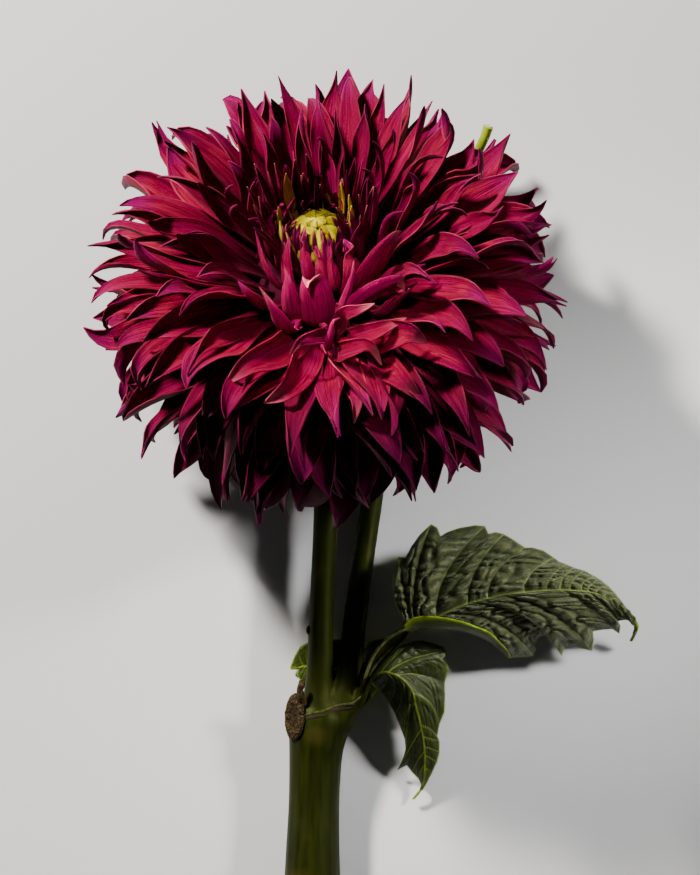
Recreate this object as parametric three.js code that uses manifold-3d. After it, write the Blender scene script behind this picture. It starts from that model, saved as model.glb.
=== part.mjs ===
// A large decorative dahlia, cut with its leaf and lying on a level surface.
//
// Millimetres, +Z up. The origin is on the surface, under the middle of the flower's length and
// width. +Y runs from the cut end of the stem to the bloom, and +X to the leaf's side. The bloom
// leans back on its lowest petals, so its face looks up and away from the stem.
//
// Places seen in the photograph are given as its pixels, with a height above the surface. One
// scale turns them into millimetres, because the flower is seen from straight above.

import * as THREE from 'three';
import { mergeVertices } from 'three/addons/utils/BufferGeometryUtils.js';
import Module from 'manifold-3d';

const wasm = await Module();
wasm.setup();

// ---------------------------------------------------------------- driving dimensions

const BLOOM_WIDTH = 180;
const BLOOM_WIDTH_PIXELS = 496;
const SCALE = BLOOM_WIDTH / BLOOM_WIDTH_PIXELS;
const ORIGIN_PIXEL = { px: 363.3, py: 500 };

// Clearance between neighbouring pieces.
const GAP = 0.35;

// The bloom's heart, where its petals would meet, and the way its face looks.
const HEART = photo(326, 300, 58);
const FACE = new THREE.Vector3(-0.08, 0.64, 0.77).normalize();

const PETAL_COUNT = 225;
const GOLDEN_ANGLE = THREE.MathUtils.degToRad(137.508);
const PETAL_THICKNESS = 1.3;
const PETAL_HALF_WIDTH = 7.4;
const INNER_HALF_WIDTH = 4.6;
const PETAL_STEPS = 20;

// How softly a petal bends where it comes down to the surface.
const SETTLING = 12;
const RECEPTACLE = { radius: 21, height: 22, centre: 4 };

// Where the calyx begins along the bloom's axis, behind the heart.
const CALYX_BACK = -45;
const CALYX_BRACTS = 8;

const STALK_SIDES = 12;
const LEAF_THICKNESS = 1.0;

// ---------------------------------------------------------------- small helpers

function photo(px, py, height) {
  return new THREE.Vector3((px - ORIGIN_PIXEL.px) * SCALE, (ORIGIN_PIXEL.py - py) * SCALE, height);
}

function smoothstep(low, high, value) {
  return THREE.MathUtils.smoothstep(value, low, high);
}

// A repeatable random number from -1 to 1 for petal or bract number i.
function jitter(i, channel) {
  const noise = Math.sin(i * 12.9898 + channel * 78.233) * 43758.5453;
  return 2 * (noise - Math.floor(noise)) - 1;
}

// Right and up across the bloom's face, as the photograph shows it.
const FACE_RIGHT = new THREE.Vector3(1, 0, 0).addScaledVector(FACE, -FACE.x).normalize();
const FACE_UP = new THREE.Vector3().crossVectors(FACE, FACE_RIGHT);

function outward(azimuth) {
  return FACE_RIGHT.clone().multiplyScalar(Math.cos(azimuth))
    .addScaledVector(FACE_UP, Math.sin(azimuth));
}

// A point of the bloom: its distance from the bloom's axis, azimuth, and place along the axis.
function bloomPoint(radius, azimuth, along) {
  return HEART.clone().addScaledVector(FACE, along).addScaledVector(outward(azimuth), radius);
}

// ---------------------------------------------------------------- solids

function solidFrom(points, triangles) {
  let volume = 0;
  for (const [a, b, c] of triangles) {
    volume += points[a].dot(new THREE.Vector3().crossVectors(points[b], points[c]));
  }
  const facing = volume < 0 ? triangles.map(([a, b, c]) => [a, c, b]) : triangles;
  const vertProperties = new Float32Array(points.flatMap((p) => [p.x, p.y, p.z]));
  const triVerts = new Uint32Array(facing.flat());
  return new wasm.Manifold(new wasm.Mesh({ numProp: 3, vertProperties, triVerts }));
}

function solidFromGeometry(geometry) {
  geometry.deleteAttribute('normal');
  geometry.deleteAttribute('uv');
  const merged = mergeVertices(geometry, 1e-4);
  const position = merged.getAttribute('position');
  const points = [];
  for (let i = 0; i < position.count; i += 1) {
    points.push(new THREE.Vector3().fromBufferAttribute(position, i));
  }
  const triangles = [];
  for (let i = 0; i < merged.index.count; i += 3) {
    const corners = [0, 1, 2].map((k) => merged.index.getX(i + k));
    if (new Set(corners).size === 3) triangles.push(corners);
  }
  return solidFrom(points, triangles);
}

// A closed skin through rings of points. A ring of one point is a tip. In the second half of a
// ring the quads are split the other way, so that the two faces of a thin blade split alike.
function loft(rings) {
  const points = rings.flat();
  const starts = [];
  let start = 0;
  for (const ring of rings) {
    starts.push(start);
    start += ring.length;
  }
  const triangles = [];
  for (let i = 0; i + 1 < rings.length; i += 1) {
    const near = rings[i].length;
    const far = rings[i + 1].length;
    const count = Math.max(near, far);
    for (let j = 0; j < count; j += 1) {
      const next = (j + 1) % count;
      const a = starts[i] + (j % near);
      const b = starts[i] + (next % near);
      const c = starts[i + 1] + (next % far);
      const d = starts[i + 1] + (j % far);
      if (near === 1) triangles.push([a, c, d]);
      else if (far === 1) triangles.push([a, b, c]);
      else if (j < count / 2) triangles.push([a, b, c], [a, c, d]);
      else triangles.push([a, b, d], [b, c, d]);
    }
  }
  const last = rings.length - 1;
  for (let j = 1; j + 1 < rings[0].length; j += 1) {
    triangles.push([starts[0], starts[0] + j + 1, starts[0] + j]);
  }
  for (let j = 1; j + 1 < rings[last].length; j += 1) {
    triangles.push([starts[last], starts[last] + j, starts[last] + j + 1]);
  }
  return solidFrom(points, triangles);
}

// A turned piece on the bloom's axis, from pairs of radius and place along the axis.
function turned(profile, sides) {
  const outline = profile.map(([radius, along]) => new THREE.Vector2(radius, along));
  const geometry = new THREE.LatheGeometry(outline, sides);
  const frame = new THREE.Matrix4().makeBasis(FACE_RIGHT, FACE, FACE_UP.clone().negate());
  geometry.applyMatrix4(frame.setPosition(HEART));
  return solidFromGeometry(geometry);
}

// A pointed blade along a row of frames, with a sharp rim and its ridge on both faces.
function blade(frames, halfWidths, cups, thickness) {
  const rings = [];
  frames.forEach((frame, i) => {
    if (halfWidths[i] === 0) {
      rings.push([frame.point]);
      return;
    }
    const cup = Math.max(cups[i], 0.05);
    const reach = halfWidths[i] * Math.sin(cup) / cup;
    const rise = halfWidths[i] * (1 - Math.cos(cup)) / cup;
    const rim = frame.point.clone().addScaledVector(frame.normal, rise);
    rings.push([
      rim.clone().addScaledVector(frame.side, reach),
      frame.point.clone().addScaledVector(frame.normal, thickness / 2),
      rim.clone().addScaledVector(frame.side, -reach),
      frame.point.clone().addScaledVector(frame.normal, -thickness / 2),
    ]);
  });
  for (const point of rings.flat()) {
    point.z = Math.max(point.z, 0);
  }
  return loft(rings);
}

// A round stalk through stations of place and radius, with flats below and above.
function stalk(stations, rings, grow) {
  const path = new THREE.CatmullRomCurve3(stations.map((s) => s.at));
  const size = new THREE.CatmullRomCurve3(
    stations.map((s) => new THREE.Vector3(s.radius, s.depth ?? s.radius, 0)));
  const sections = [];
  for (let i = 0; i <= rings; i += 1) {
    const t = i / rings;
    const tangent = path.getTangent(t);
    const side = new THREE.Vector3(tangent.y, -tangent.x, 0).normalize();
    const rise = new THREE.Vector3().crossVectors(side, tangent);
    const { x: radius, y: depth } = size.getPoint(t);
    const centre = path.getPoint(t);
    if (i === 0) centre.addScaledVector(tangent, -grow);
    if (i === rings) centre.addScaledVector(tangent, grow);
    const section = [];
    for (let k = 0; k < STALK_SIDES; k += 1) {
      const angle = (k + 0.5) * 2 * Math.PI / STALK_SIDES;
      section.push(centre.clone()
        .addScaledVector(side, Math.cos(angle) * (radius + grow))
        .addScaledVector(rise, Math.sin(angle) * (depth + grow)));
    }
    sections.push(section);
  }
  return loft(sections);
}

function largestPiece(solid) {
  const pieces = solid.decompose();
  return pieces.reduce((best, piece) => (piece.volume() > best.volume() ? piece : best));
}

function mesh(name, solid, material) {
  const { vertProperties, triVerts } = largestPiece(solid).getMesh();
  const geometry = new THREE.BufferGeometry();
  geometry.setAttribute('position', new THREE.BufferAttribute(vertProperties, 3));
  geometry.setIndex(new THREE.BufferAttribute(triVerts, 1));
  const piece = new THREE.Mesh(geometry, material);
  piece.name = name;
  return piece;
}

// ---------------------------------------------------------------- materials

const petalCrimson = new THREE.MeshStandardMaterial({ color: '#8c1230', roughness: 0.6 });
const buttonYellow = new THREE.MeshStandardMaterial({ color: '#c9c35a', roughness: 0.55 });
const stemGreen = new THREE.MeshStandardMaterial({ color: '#4c5a22', roughness: 0.5 });
const leafGreen = new THREE.MeshStandardMaterial({ color: '#4a5530', roughness: 0.55 });

// ---------------------------------------------------------------- stem and stalks

// Half the height of a flat-bottomed stalk that lies on the surface.
function lying(depth) {
  return depth * Math.cos(Math.PI / STALK_SIDES) + 0.15;
}

function station(px, py, height, radius, depth) {
  return { at: photo(px, py, height), radius, depth };
}

// The main stem, from its cut end up to the swollen node.
function mainStem(grow) {
  return stalk([
    station(311.5, 930, lying(10.6), 10.8, 10.6),
    station(312, 870, lying(10.4), 10.5, 10.4),
    station(313.5, 800, lying(9.4), 9.4, 9.4),
    station(314, 757, lying(9.4), 9.5, 9.4),
    station(317, 728, lying(10.2), 11.4, 10.2),
    station(320, 711, lying(10.4), 12.3, 10.4),
    station(322, 699, lying(10.2), 10.2, 8.4),
    station(323, 692, lying(10.2), 7.2, 5.6),
  ], 14, grow);
}

// The flower stalk: along the surface, then bent up to the back of the calyx.
function flowerStalk(grow) {
  const neck = (along) => HEART.clone().addScaledVector(FACE, along);
  return stalk([
    station(318, 712, 12, 5.6),
    station(319, 680, 12.6, 4.9),
    station(320, 640, 13.2, 4.5),
    station(322, 590, 13.4, 4.4),
    station(325, 530, 13.4, 4.5),
    station(327, 456, 14, 4.6),
    station(329, 424, 15.2, 4.7),
    { at: neck(-53), radius: 4.9 },
    { at: neck(CALYX_BACK - GAP), radius: 5.6 },
  ], 22, grow);
}

// The side shoot, which lies on the surface under the bloom and ends in a trimmed tip.
const SHOOT = [
  station(346, 712, 11, 4.9),
  station(350, 664, 12.4, 4.35),
  station(357, 606, 10.5, 4.2),
  station(369, 524, 6.4, 3.9),
  station(386, 420, 4.1, 3.7),
  station(412, 310, 3.9, 3.4),
  station(444, 210, 5.4, 2.9),
  station(468, 162, 11, 2.4),
  station(485, 135, 17, 1.9),
];

function sideShoot(grow) {
  return stalk(SHOOT, 24, grow);
}

// The corky scar of the fallen leaf on the node's left, and the dry stub above it.
function leafScar(grow) {
  const plate = new THREE.SphereGeometry(1, 12, 8);
  plate.scale(3.6 + grow, 9 + grow, 6.4 + grow);
  const centre = photo(293, 717, 11.5);
  plate.translate(centre.x, centre.y, centre.z);
  const stub = stalk([
    station(299, 706, 12, 2.2),
    station(301, 693, 13.5, 1.4),
    station(300, 683, 15, 0.5),
  ], 3, grow);
  return solidFromGeometry(plate).add(stub);
}

function stemSolid(grow) {
  return wasm.Manifold.union([
    mainStem(grow), flowerStalk(grow), sideShoot(grow), leafScar(grow),
  ]);
}

// ---------------------------------------------------------------- calyx

// The green cup at the back of the bloom, with its bracts spread over the lowest petals.
function calyxSolid(grow) {
  const cup = turned([
    [0, CALYX_BACK - grow], [6.5, CALYX_BACK - grow], [10.5 + grow, CALYX_BACK + 2.5 - grow],
    [14.5 + grow, CALYX_BACK + 7], [15 + grow, CALYX_BACK + 11 + grow],
    [0, CALYX_BACK + 11 + grow],
  ], 16);
  const bracts = [];
  for (let i = 0; i < CALYX_BRACTS; i += 1) {
    const azimuth = (i + 0.3 * jitter(i, 9)) * 2 * Math.PI / CALYX_BRACTS;
    const out = outward(azimuth);
    const side = new THREE.Vector3().crossVectors(FACE, out);
    const spine = [[11, -39], [18, -36.5], [25, -32.5], [32, -27]];
    const frames = spine.map(([radius, along]) => ({
      point: bloomPoint(radius, azimuth, along),
      side,
      normal: FACE,
    }));
    bracts.push(blade(frames, [4.5 + grow, 5 + grow, 4 + grow, 0], [0.3, 0.3, 0.3, 0],
      1.2 + 2 * grow));
  }
  return wasm.Manifold.union([cup, ...bracts]);
}

// ---------------------------------------------------------------- bloom centre

const BUTTON_SIDES = 16;

// Long pale bracts that stand round the button: each one's azimuth in degrees and extra length.
const PALE_BRACTS = {
  halfWidth: 2.1,
  spine: [[8, 30.5], [12, 33.5], [13.6, 40], [12.8, 46]],
  places: [[178, 5], [128, 3], [75, 1], [28, 4], [342, 2], [232, 0]],
};

// The unopened button: closed florets under scales, in the crater of the bloom.
function buttonSolid(grow) {
  const dome = turned([
    [0, 27 - grow], [8.4 + grow, 27 - grow], [9.4 + grow, 34], [8.6 + grow, 38],
    [6 + grow, 41 + grow / 2], [3 + grow / 2, 42.6 + grow], [0, 43 + grow],
  ], BUTTON_SIDES);
  const scales = [];
  for (const { count, spine, turn } of [
    { count: 9, spine: [[9, 31], [10.2, 36], [8.6, 40], [5, 42.8]], turn: 0 },
    { count: 6, spine: [[8.2, 36.5], [7.6, 40.4], [4.8, 42.9], [1.6, 44]], turn: 0.3 },
  ]) {
    for (let i = 0; i < count; i += 1) {
      scales.push(scale(spine, (i + turn) * 2 * Math.PI / count, 2.9 + grow, 1.4 + 2 * grow));
    }
  }
  const { spine, halfWidth } = PALE_BRACTS;
  for (const [azimuth, extra] of PALE_BRACTS.places) {
    const stretched = spine.map(([radius, along], k) => [radius, along + extra * k / 3]);
    const turn = THREE.MathUtils.degToRad(azimuth);
    scales.push(scale(stretched, turn, halfWidth + grow, 1.4 + 2 * grow));
  }
  return wasm.Manifold.union([dome, ...scales]);
}

function scale(spine, azimuth, halfWidth, thickness) {
  const out = outward(azimuth);
  const side = new THREE.Vector3().crossVectors(FACE, out);
  const frames = spine.map(([radius, along], i) => {
    const [r0, w0] = spine[Math.max(i - 1, 0)];
    const [r1, w1] = spine[Math.min(i + 1, spine.length - 1)];
    const slope = Math.atan2(r1 - r0, w1 - w0);
    const normal = out.clone().multiplyScalar(-Math.cos(slope))
      .addScaledVector(FACE, Math.sin(slope));
    return { point: bloomPoint(radius, azimuth, along), side, normal };
  });
  return blade(frames, [0.8 * halfWidth, halfWidth, 0.7 * halfWidth, 0], [0.5, 0.6, 0.6, 0],
    thickness);
}

// ---------------------------------------------------------------- petals

// How far a petal's tip reaches from the heart, by its angle from the bloom's axis.
function tipReach(angle) {
  const degrees = THREE.MathUtils.radToDeg(angle);
  const behind = Math.max(degrees - 90, 0) / 40;
  return 89.5 - 68.5 * Math.exp(-((degrees / 27) ** 1.2)) - 5 * behind;
}

// The sizes and angles of petal i, from the innermost to the outermost.
function petalShape(i) {
  const t = (i + 0.5) / PETAL_COUNT;
  const degrees = THREE.MathUtils.degToRad(1);
  const angle = Math.acos(1 - 0.03 - 1.83 * t ** 1.1) + 3.5 * degrees * jitter(i, 1);
  const reach = tipReach(angle) * (1 + 0.05 * jitter(i, 2));
  const root = (40 + 80 * t ** 0.8) * degrees;
  const rootRadius = RECEPTACLE.radius * Math.sin(root);
  const rootAlong = RECEPTACLE.centre + RECEPTACLE.height * Math.cos(root);
  const across = reach * Math.sin(angle) - rootRadius;
  const along = reach * Math.cos(angle) - rootAlong;
  const reflex = (-25 + 55 * smoothstep(0, 0.5, t) + 45 * smoothstep(0.6, 1, t)
    + 12 * jitter(i, 3)) * degrees;
  const chord = Math.hypot(across, along);
  return {
    azimuth: i * GOLDEN_ANGLE + 5 * degrees * jitter(i, 4),
    rootRadius,
    rootAlong,
    startAngle: Math.atan2(across, along) - reflex / 2,
    reflex,
    length: chord * (reflex / 2) / Math.sin(reflex / 2),
    twist: 22 * degrees * jitter(i, 5),
    rest: 0.6 + 7 * (0.5 + 0.5 * jitter(i, 6)) ** 2,
    halfWidth: INNER_HALF_WIDTH + (PETAL_HALF_WIDTH - INNER_HALF_WIDTH) * smoothstep(0, 0.35, t),
    fold: 1 + 0.35 * jitter(i, 7),
  };
}

// The height of what a petal can lie on: the surface, or the side shoot on it.
const SHOOT_PATH = new THREE.CatmullRomCurve3(SHOOT.map((s) => s.at)).getPoints(60);

function ground(point) {
  let nearest = Infinity;
  for (const on of SHOOT_PATH) {
    nearest = Math.min(nearest, (point.x - on.x) ** 2 + (point.y - on.y) ** 2);
  }
  return 8.5 * Math.exp(-nearest / 9 ** 2);
}

// The frames along a petal. Each step turns by the same angle, and a petal that comes down to
// the surface bends to lie along it.
function petalFrames(shape) {
  const out = outward(shape.azimuth);
  const point = bloomPoint(shape.rootRadius, shape.azimuth, shape.rootAlong);
  const stride = shape.length / PETAL_STEPS;
  const frames = [];
  for (let k = 0; k <= PETAL_STEPS; k += 1) {
    const s = k / PETAL_STEPS;
    const angle = shape.startAngle + shape.reflex * s;
    const direction = FACE.clone().multiplyScalar(Math.cos(angle))
      .addScaledVector(out, Math.sin(angle));
    const lowest = (ground(point) + shape.rest - point.z) / SETTLING;
    if (direction.z < lowest) {
      direction.z = Math.min(lowest, 0.5);
      direction.normalize();
    }
    const inner = FACE.clone().multiplyScalar(Math.sin(angle))
      .addScaledVector(out, -Math.cos(angle));
    const normal = inner.addScaledVector(direction, -inner.dot(direction)).normalize();
    const side = new THREE.Vector3().crossVectors(normal, direction);
    const turn = shape.twist * s;
    frames.push({
      point: point.clone(),
      normal: normal.clone().multiplyScalar(Math.cos(turn)).addScaledVector(side, Math.sin(turn)),
      side: side.multiplyScalar(Math.cos(turn)).addScaledVector(normal, -Math.sin(turn)),
    });
    point.addScaledVector(direction, stride);
  }
  return frames;
}

// A petal in the round: wide past its middle, cupped, and rolled towards its tip.
function petal(i) {
  const shape = petalShape(i);
  const frames = petalFrames(shape);
  const sections = [
    { step: 3, width: 0.45, cup: 0.4 },
    { step: 11, width: 0.95, cup: 0.6 },
    { step: 15, width: 0.85, cup: 0.9 },
    { step: PETAL_STEPS, width: 0, cup: 0 },
  ];
  return blade(
    sections.map((s) => frames[s.step]),
    sections.map((s) => s.width * shape.halfWidth),
    sections.map((s) => s.cup * shape.fold),
    PETAL_THICKNESS,
  );
}

// The dense middle of the bloom, which the petals stand out of, with the crater in its face.
function bloomCore() {
  return turned([
    [0, 26], [14, 27], [18, 33], [25, 37], [34, 32], [41, 20], [44, 6], [42, -7], [36, -18],
    [26, -27], [13, -34], [0, -35],
  ], 20);
}

function petalsSolid() {
  const petals = [];
  for (let i = 0; i < PETAL_COUNT; i += 1) {
    petals.push(petal(i));
  }
  return wasm.Manifold.union([bloomCore(), ...petals])
    .subtract(buttonSolid(GAP))
    .subtract(calyxSolid(GAP))
    .subtract(stemSolid(GAP))
    .simplify(0.05);
}

// ---------------------------------------------------------------- leaf

// Each leaf row is [midrib, edge above, edge below] in photograph pixels and millimetres of
// height. The rows follow the side veins, and their ends are the teeth and notches of the edge.

function leaflet(rows, base, tip) {
  const rings = [[photo(...base)]];
  for (const [rib, above, below] of rows) {
    const [m, a, b] = [photo(...rib), photo(...above), photo(...below)];
    const crown = (edge) => {
      const middle = m.clone().lerp(edge, 0.5);
      middle.z += 0.08 * m.distanceTo(edge);
      return middle;
    };
    const top = [a, crown(a), m, crown(b), b];
    const bottom = top.map((p) => p.clone().setZ(p.z - LEAF_THICKNESS)).reverse();
    rings.push([...top, ...bottom]);
  }
  rings.push([photo(...tip)]);
  return loft(rings);
}

function terminalLeaflet() {
  return leaflet([
    [[408, 629, 29], [399, 612, 26], [413, 636, 26]],
    [[411, 627.5, 29.5], [392, 592, 24], [424, 632, 24]],
    [[416, 625.5, 30], [394, 566, 22], [440, 630, 22]],
    [[421, 623, 30.5], [411, 548, 21], [455, 630, 20]],
    [[427, 620, 31], [431, 525, 19], [465, 632, 18]],
    [[433, 617.5, 31.5], [441, 537, 21], [476, 635, 16.5]],
    [[440, 615, 32], [460, 528.5, 20], [487, 640, 15]],
    [[448, 611.5, 32.5], [485, 526.5, 19], [500, 650, 12]],
    [[458, 607.5, 33], [490, 534.5, 22], [512, 660.5, 9]],
    [[471, 603, 33.5], [509, 537, 22], [536, 657, 9]],
    [[487, 599, 34], [523, 546.5, 23], [536, 643, 13]],
    [[505, 595, 34], [541, 550, 23], [551, 635, 14]],
    [[523, 592.5, 34], [557, 559.5, 23], [564, 659.5, 8]],
    [[539, 591, 33.5], [571, 568, 23], [573, 649, 10]],
    [[555, 590.5, 32.5], [586, 571, 23], [595, 654, 8]],
    [[571, 591, 31], [602, 581, 22], [597, 634, 13]],
    [[587, 592.5, 29], [614, 591, 21], [610, 631, 13]],
    [[602, 597, 26], [624, 602, 19], [622, 636, 10]],
    [[615, 604.5, 23], [632, 613, 17], [621, 622, 14]],
    [[627, 614, 19], [639, 622, 14], [633, 623, 13]],
    [[637, 625, 14], [641, 630.5, 11], [636, 629, 11]],
  ], [405, 631, 28], [634, 644, 6]);
}

function frontLeaflet() {
  return leaflet([
    [[376, 677, 20.5], [382, 662, 19], [375, 686, 18]],
    [[382, 675, 21.5], [396, 650.5, 18], [379, 690, 16.5]],
    [[390, 676, 22], [412, 643.5, 17], [384, 697, 15]],
    [[398, 679, 22], [430, 644, 16], [389, 704, 13.5]],
    [[404, 683, 21.5], [446, 650, 14], [393, 712, 12]],
    [[409, 689, 21], [444, 660, 15], [397, 720, 11]],
    [[413, 696, 20], [449, 672, 13], [400, 728, 10]],
    [[416, 704, 19], [446, 689, 13], [403, 736, 9]],
    [[418.5, 714, 17.5], [443, 714, 12], [405.5, 745, 8]],
    [[421, 725, 16], [439, 731, 11], [406, 755, 7]],
    [[423, 736, 14], [440.5, 745, 10], [405, 763, 6]],
    [[424.5, 747, 12], [440, 758, 8.5], [399, 774.5, 4]],
    [[425.5, 759, 10], [435, 771, 7], [408.5, 771, 5]],
    [[425.5, 772, 8], [430, 783, 5.5], [418, 782.5, 5]],
    [[424, 784, 6.5], [426.5, 791, 4.5], [421.5, 789.5, 4.5]],
  ], [371, 679, 19], [414, 805, 2]);
}

function backLeaflet() {
  return leaflet([
    [[366, 678, 13], [380, 650, 12], [379.5, 693, 12]],
    [[360, 676.5, 9], [376, 642, 9], [372, 701, 8]],
    [[353, 675, 6], [365, 644.5, 6], [362, 706, 5]],
    [[344, 673.5, 3.8], [352, 643, 4], [350, 692, 3]],
    [[334, 672, 2.8], [338, 643, 3], [336, 689, 2]],
    [[325, 670.5, 2.4], [325, 643.5, 3], [323, 688, 1.4]],
    [[316, 669.5, 2.2], [314, 645, 3], [311, 687, 1.2]],
    [[308, 669, 2.2], [304, 647.5, 3], [301, 684, 1.2]],
    [[302, 669, 2.2], [298, 653, 3], [297, 677, 1.4]],
    [[297.5, 670, 2.2], [294, 661, 2.6], [299, 672.5, 1.8]],
  ], [370, 679, 17], [290, 671.6, 1.8]);
}

// The leaf stalk out of the node, and the rachis to the large leaflet.
function petioleSolid(grow) {
  return stalk([
    station(347, 714, 12, 3.4),
    station(355, 705, 14.5, 2.2),
    station(362, 693, 17, 1.7),
    station(369, 680, 19.5, 1.6),
    station(378, 662, 22.5, 1.6),
    station(392, 645, 25.5, 1.6),
    station(408, 631, 28, 1.3),
  ], 10, grow);
}

// ---------------------------------------------------------------- the flower

const stem = stemSolid(0);
const stemClearance = stemSolid(GAP);
const petiole = petioleSolid(0).subtract(stemClearance);
const leafClearance = petioleSolid(GAP).add(stemClearance);

const flower = new THREE.Group();
flower.add(
  mesh('stem', stem, stemGreen),
  mesh('calyx', calyxSolid(0), stemGreen),
  mesh('bloom_petals', petalsSolid(), petalCrimson),
  mesh('bloom_centre', buttonSolid(0), buttonYellow),
  mesh('petiole', petiole, stemGreen),
  mesh('leaflet_terminal', terminalLeaflet().subtract(leafClearance), leafGreen),
  mesh('leaflet_front', frontLeaflet().subtract(leafClearance), leafGreen),
  mesh('leaflet_back', backLeaflet().subtract(leafClearance), leafGreen),
);

export default flower;
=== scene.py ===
import math

import bmesh
import bpy
import numpy as np
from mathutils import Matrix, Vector
from mathutils.bvhtree import BVHTree


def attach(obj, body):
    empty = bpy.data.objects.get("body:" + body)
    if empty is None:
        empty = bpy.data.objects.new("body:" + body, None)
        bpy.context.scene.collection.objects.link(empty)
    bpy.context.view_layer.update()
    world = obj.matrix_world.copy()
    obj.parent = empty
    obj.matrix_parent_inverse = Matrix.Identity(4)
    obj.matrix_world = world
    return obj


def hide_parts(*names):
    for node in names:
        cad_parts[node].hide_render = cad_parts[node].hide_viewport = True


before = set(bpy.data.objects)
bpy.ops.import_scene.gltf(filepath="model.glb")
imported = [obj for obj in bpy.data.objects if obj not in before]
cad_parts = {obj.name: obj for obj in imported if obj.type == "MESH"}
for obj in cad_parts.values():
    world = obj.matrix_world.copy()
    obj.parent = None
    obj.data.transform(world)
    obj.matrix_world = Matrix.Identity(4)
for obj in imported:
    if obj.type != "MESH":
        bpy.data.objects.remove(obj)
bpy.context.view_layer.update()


# ------------------------------------------------------------------ camera
# The flower lies on its back and the camera looks straight down on it, so that the picture's
# upright is +Y. Places read off the photograph are its pixels, at the scale of the part's source.

MM = 0.001
BLOOM_WIDTH = 180
BLOOM_WIDTH_PIXELS = 496
SCALE = BLOOM_WIDTH / BLOOM_WIDTH_PIXELS * MM
ORIGIN_PIXEL = (363.3, 500.0)
PICTURE = (700, 875)
CAMERA_HEIGHT = 3.0
FOCUS_HEIGHT = 0.045
SENSOR_MM = 36.0


def photo(px, py, height=0.0):
    """A point of the photograph, with its height above the surface in millimetres."""
    return Vector(((px - ORIGIN_PIXEL[0]) * SCALE, (ORIGIN_PIXEL[1] - py) * SCALE, height * MM))


def added(name, data):
    """Links a new object with the given data into the scene."""
    thing = bpy.data.objects.new(name, data)
    bpy.context.scene.collection.objects.link(thing)
    return thing


camera_data = bpy.data.cameras.new("camera")
camera_data.sensor_width = SENSOR_MM
camera_data.lens = SENSOR_MM * (CAMERA_HEIGHT - FOCUS_HEIGHT) / (PICTURE[1] * SCALE)
camera = added("camera", camera_data)
camera.location = photo(PICTURE[0] / 2, PICTURE[1] / 2, CAMERA_HEIGHT / MM)
bpy.context.scene.camera = camera


# ------------------------------------------------------------------ floor and light
# A plain pale floor. The key light stands beyond the top of the bloom, so that the petals below
# the crater fall into shade. Two small lights bring out the crater and the leaf, over a weak fill.

SHADER_INPUTS = {
    "rough": "Roughness", "specular": "Specular IOR Level", "specular_tint": "Specular Tint",
    "sheen": "Sheen Weight", "sheen_rough": "Sheen Roughness", "sheen_tint": "Sheen Tint",
    "subsurface": "Subsurface Weight", "subsurface_radius": "Subsurface Radius"}


def put(tree, kind, *sources, **settings):
    """Adds a node, sets its properties and fills its inputs in order; None leaves one alone."""
    node = tree.nodes.new(kind)
    for name, value in settings.items():
        setattr(node, name, value)
    for socket, source in zip([s for s in node.inputs if s.enabled], sources):
        source = getattr(source, "socket", source)
        if source is None:
            continue
        if isinstance(source, bpy.types.NodeSocket):
            tree.links.new(source, socket)
        else:
            socket.default_value = source
    return node


def principled(name):
    """A new material and its tree."""
    material = bpy.data.materials.new(name)
    material.use_nodes = True
    return material, material.node_tree


def finish(material, body, height=None, strength=1.0, depth=0.0, **values):
    """Gives a material its colour, its shader's other values and its relief."""
    tree = material.node_tree
    shader = tree.nodes["Principled BSDF"]
    if isinstance(body, tuple):
        shader.inputs["Base Color"].default_value = (*body, 1)
    else:
        tree.links.new(body, shader.inputs["Base Color"])
    for name, value in values.items():
        shader.inputs[SHADER_INPUTS[name]].default_value = value
    if height is not None:
        bump = put(tree, "ShaderNodeBump", strength, depth, None, height)
        tree.links.new(bump.outputs[0], shader.inputs["Normal"])
    return material


FLOOR_HALF = 4.0
FLOOR_DROP = 0.0002
floor_mesh = bpy.data.meshes.new("floor")
floor_mesh.from_pydata(
    [(-FLOOR_HALF, -FLOOR_HALF, 0), (FLOOR_HALF, -FLOOR_HALF, 0),
     (FLOOR_HALF, FLOOR_HALF, 0), (-FLOOR_HALF, FLOOR_HALF, 0)], [], [(0, 1, 2, 3)])
floor_mesh.materials.append(finish(principled("floor_paper")[0], (0.6, 0.59, 0.575), rough=0.85))
floor = added("floor", floor_mesh)
floor.location.z = -FLOOR_DROP

# Each light: its place, what it looks at, its size, watts, colour and spread in degrees.
LIGHTS = {
    "key_light": ((-0.74, 1.0, 0.8), (0, 0.05, 0.03), 0.15, 74, (1.0, 0.97, 0.93), 180),
    "crater_light": ((-0.16, 0.36, 0.86), (-0.016, 0.076, 0.118), 0.03, 0.018,
                     (1.0, 0.97, 0.94), 5.5),
    "leaf_light": ((0.52, 0.18, 0.38), (0.07, -0.05, 0.02), 0.09, 0.3, (0.97, 0.98, 1.0), 34),
}
for name, (place, aim, size, watts, colour, spread) in LIGHTS.items():
    data = bpy.data.lights.new(name, "AREA")
    data.spread = math.radians(spread)
    data.size = size
    data.energy = watts
    data.color = colour
    light = added(name, data)
    light.location = place
    light.rotation_euler = (Vector(aim) - Vector(place)).to_track_quat("-Z", "Y").to_euler()
world = bpy.data.worlds.new("studio")
world.use_nodes = True
world.node_tree.nodes["Background"].inputs["Color"].default_value = (0.9, 0.92, 0.95, 1)
world.node_tree.nodes["Background"].inputs["Strength"].default_value = 0.05
bpy.context.scene.world = world


# ------------------------------------------------------------------ petals
# Thin velvety blades of living tissue on a domed receptacle, set by the golden angle from the
# crater to the back. They are cupped, ribbed along their length and rolled or hooked at the
# tip, and the lowest ones bend where they meet the surface. Each grows from the receptacle.

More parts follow.
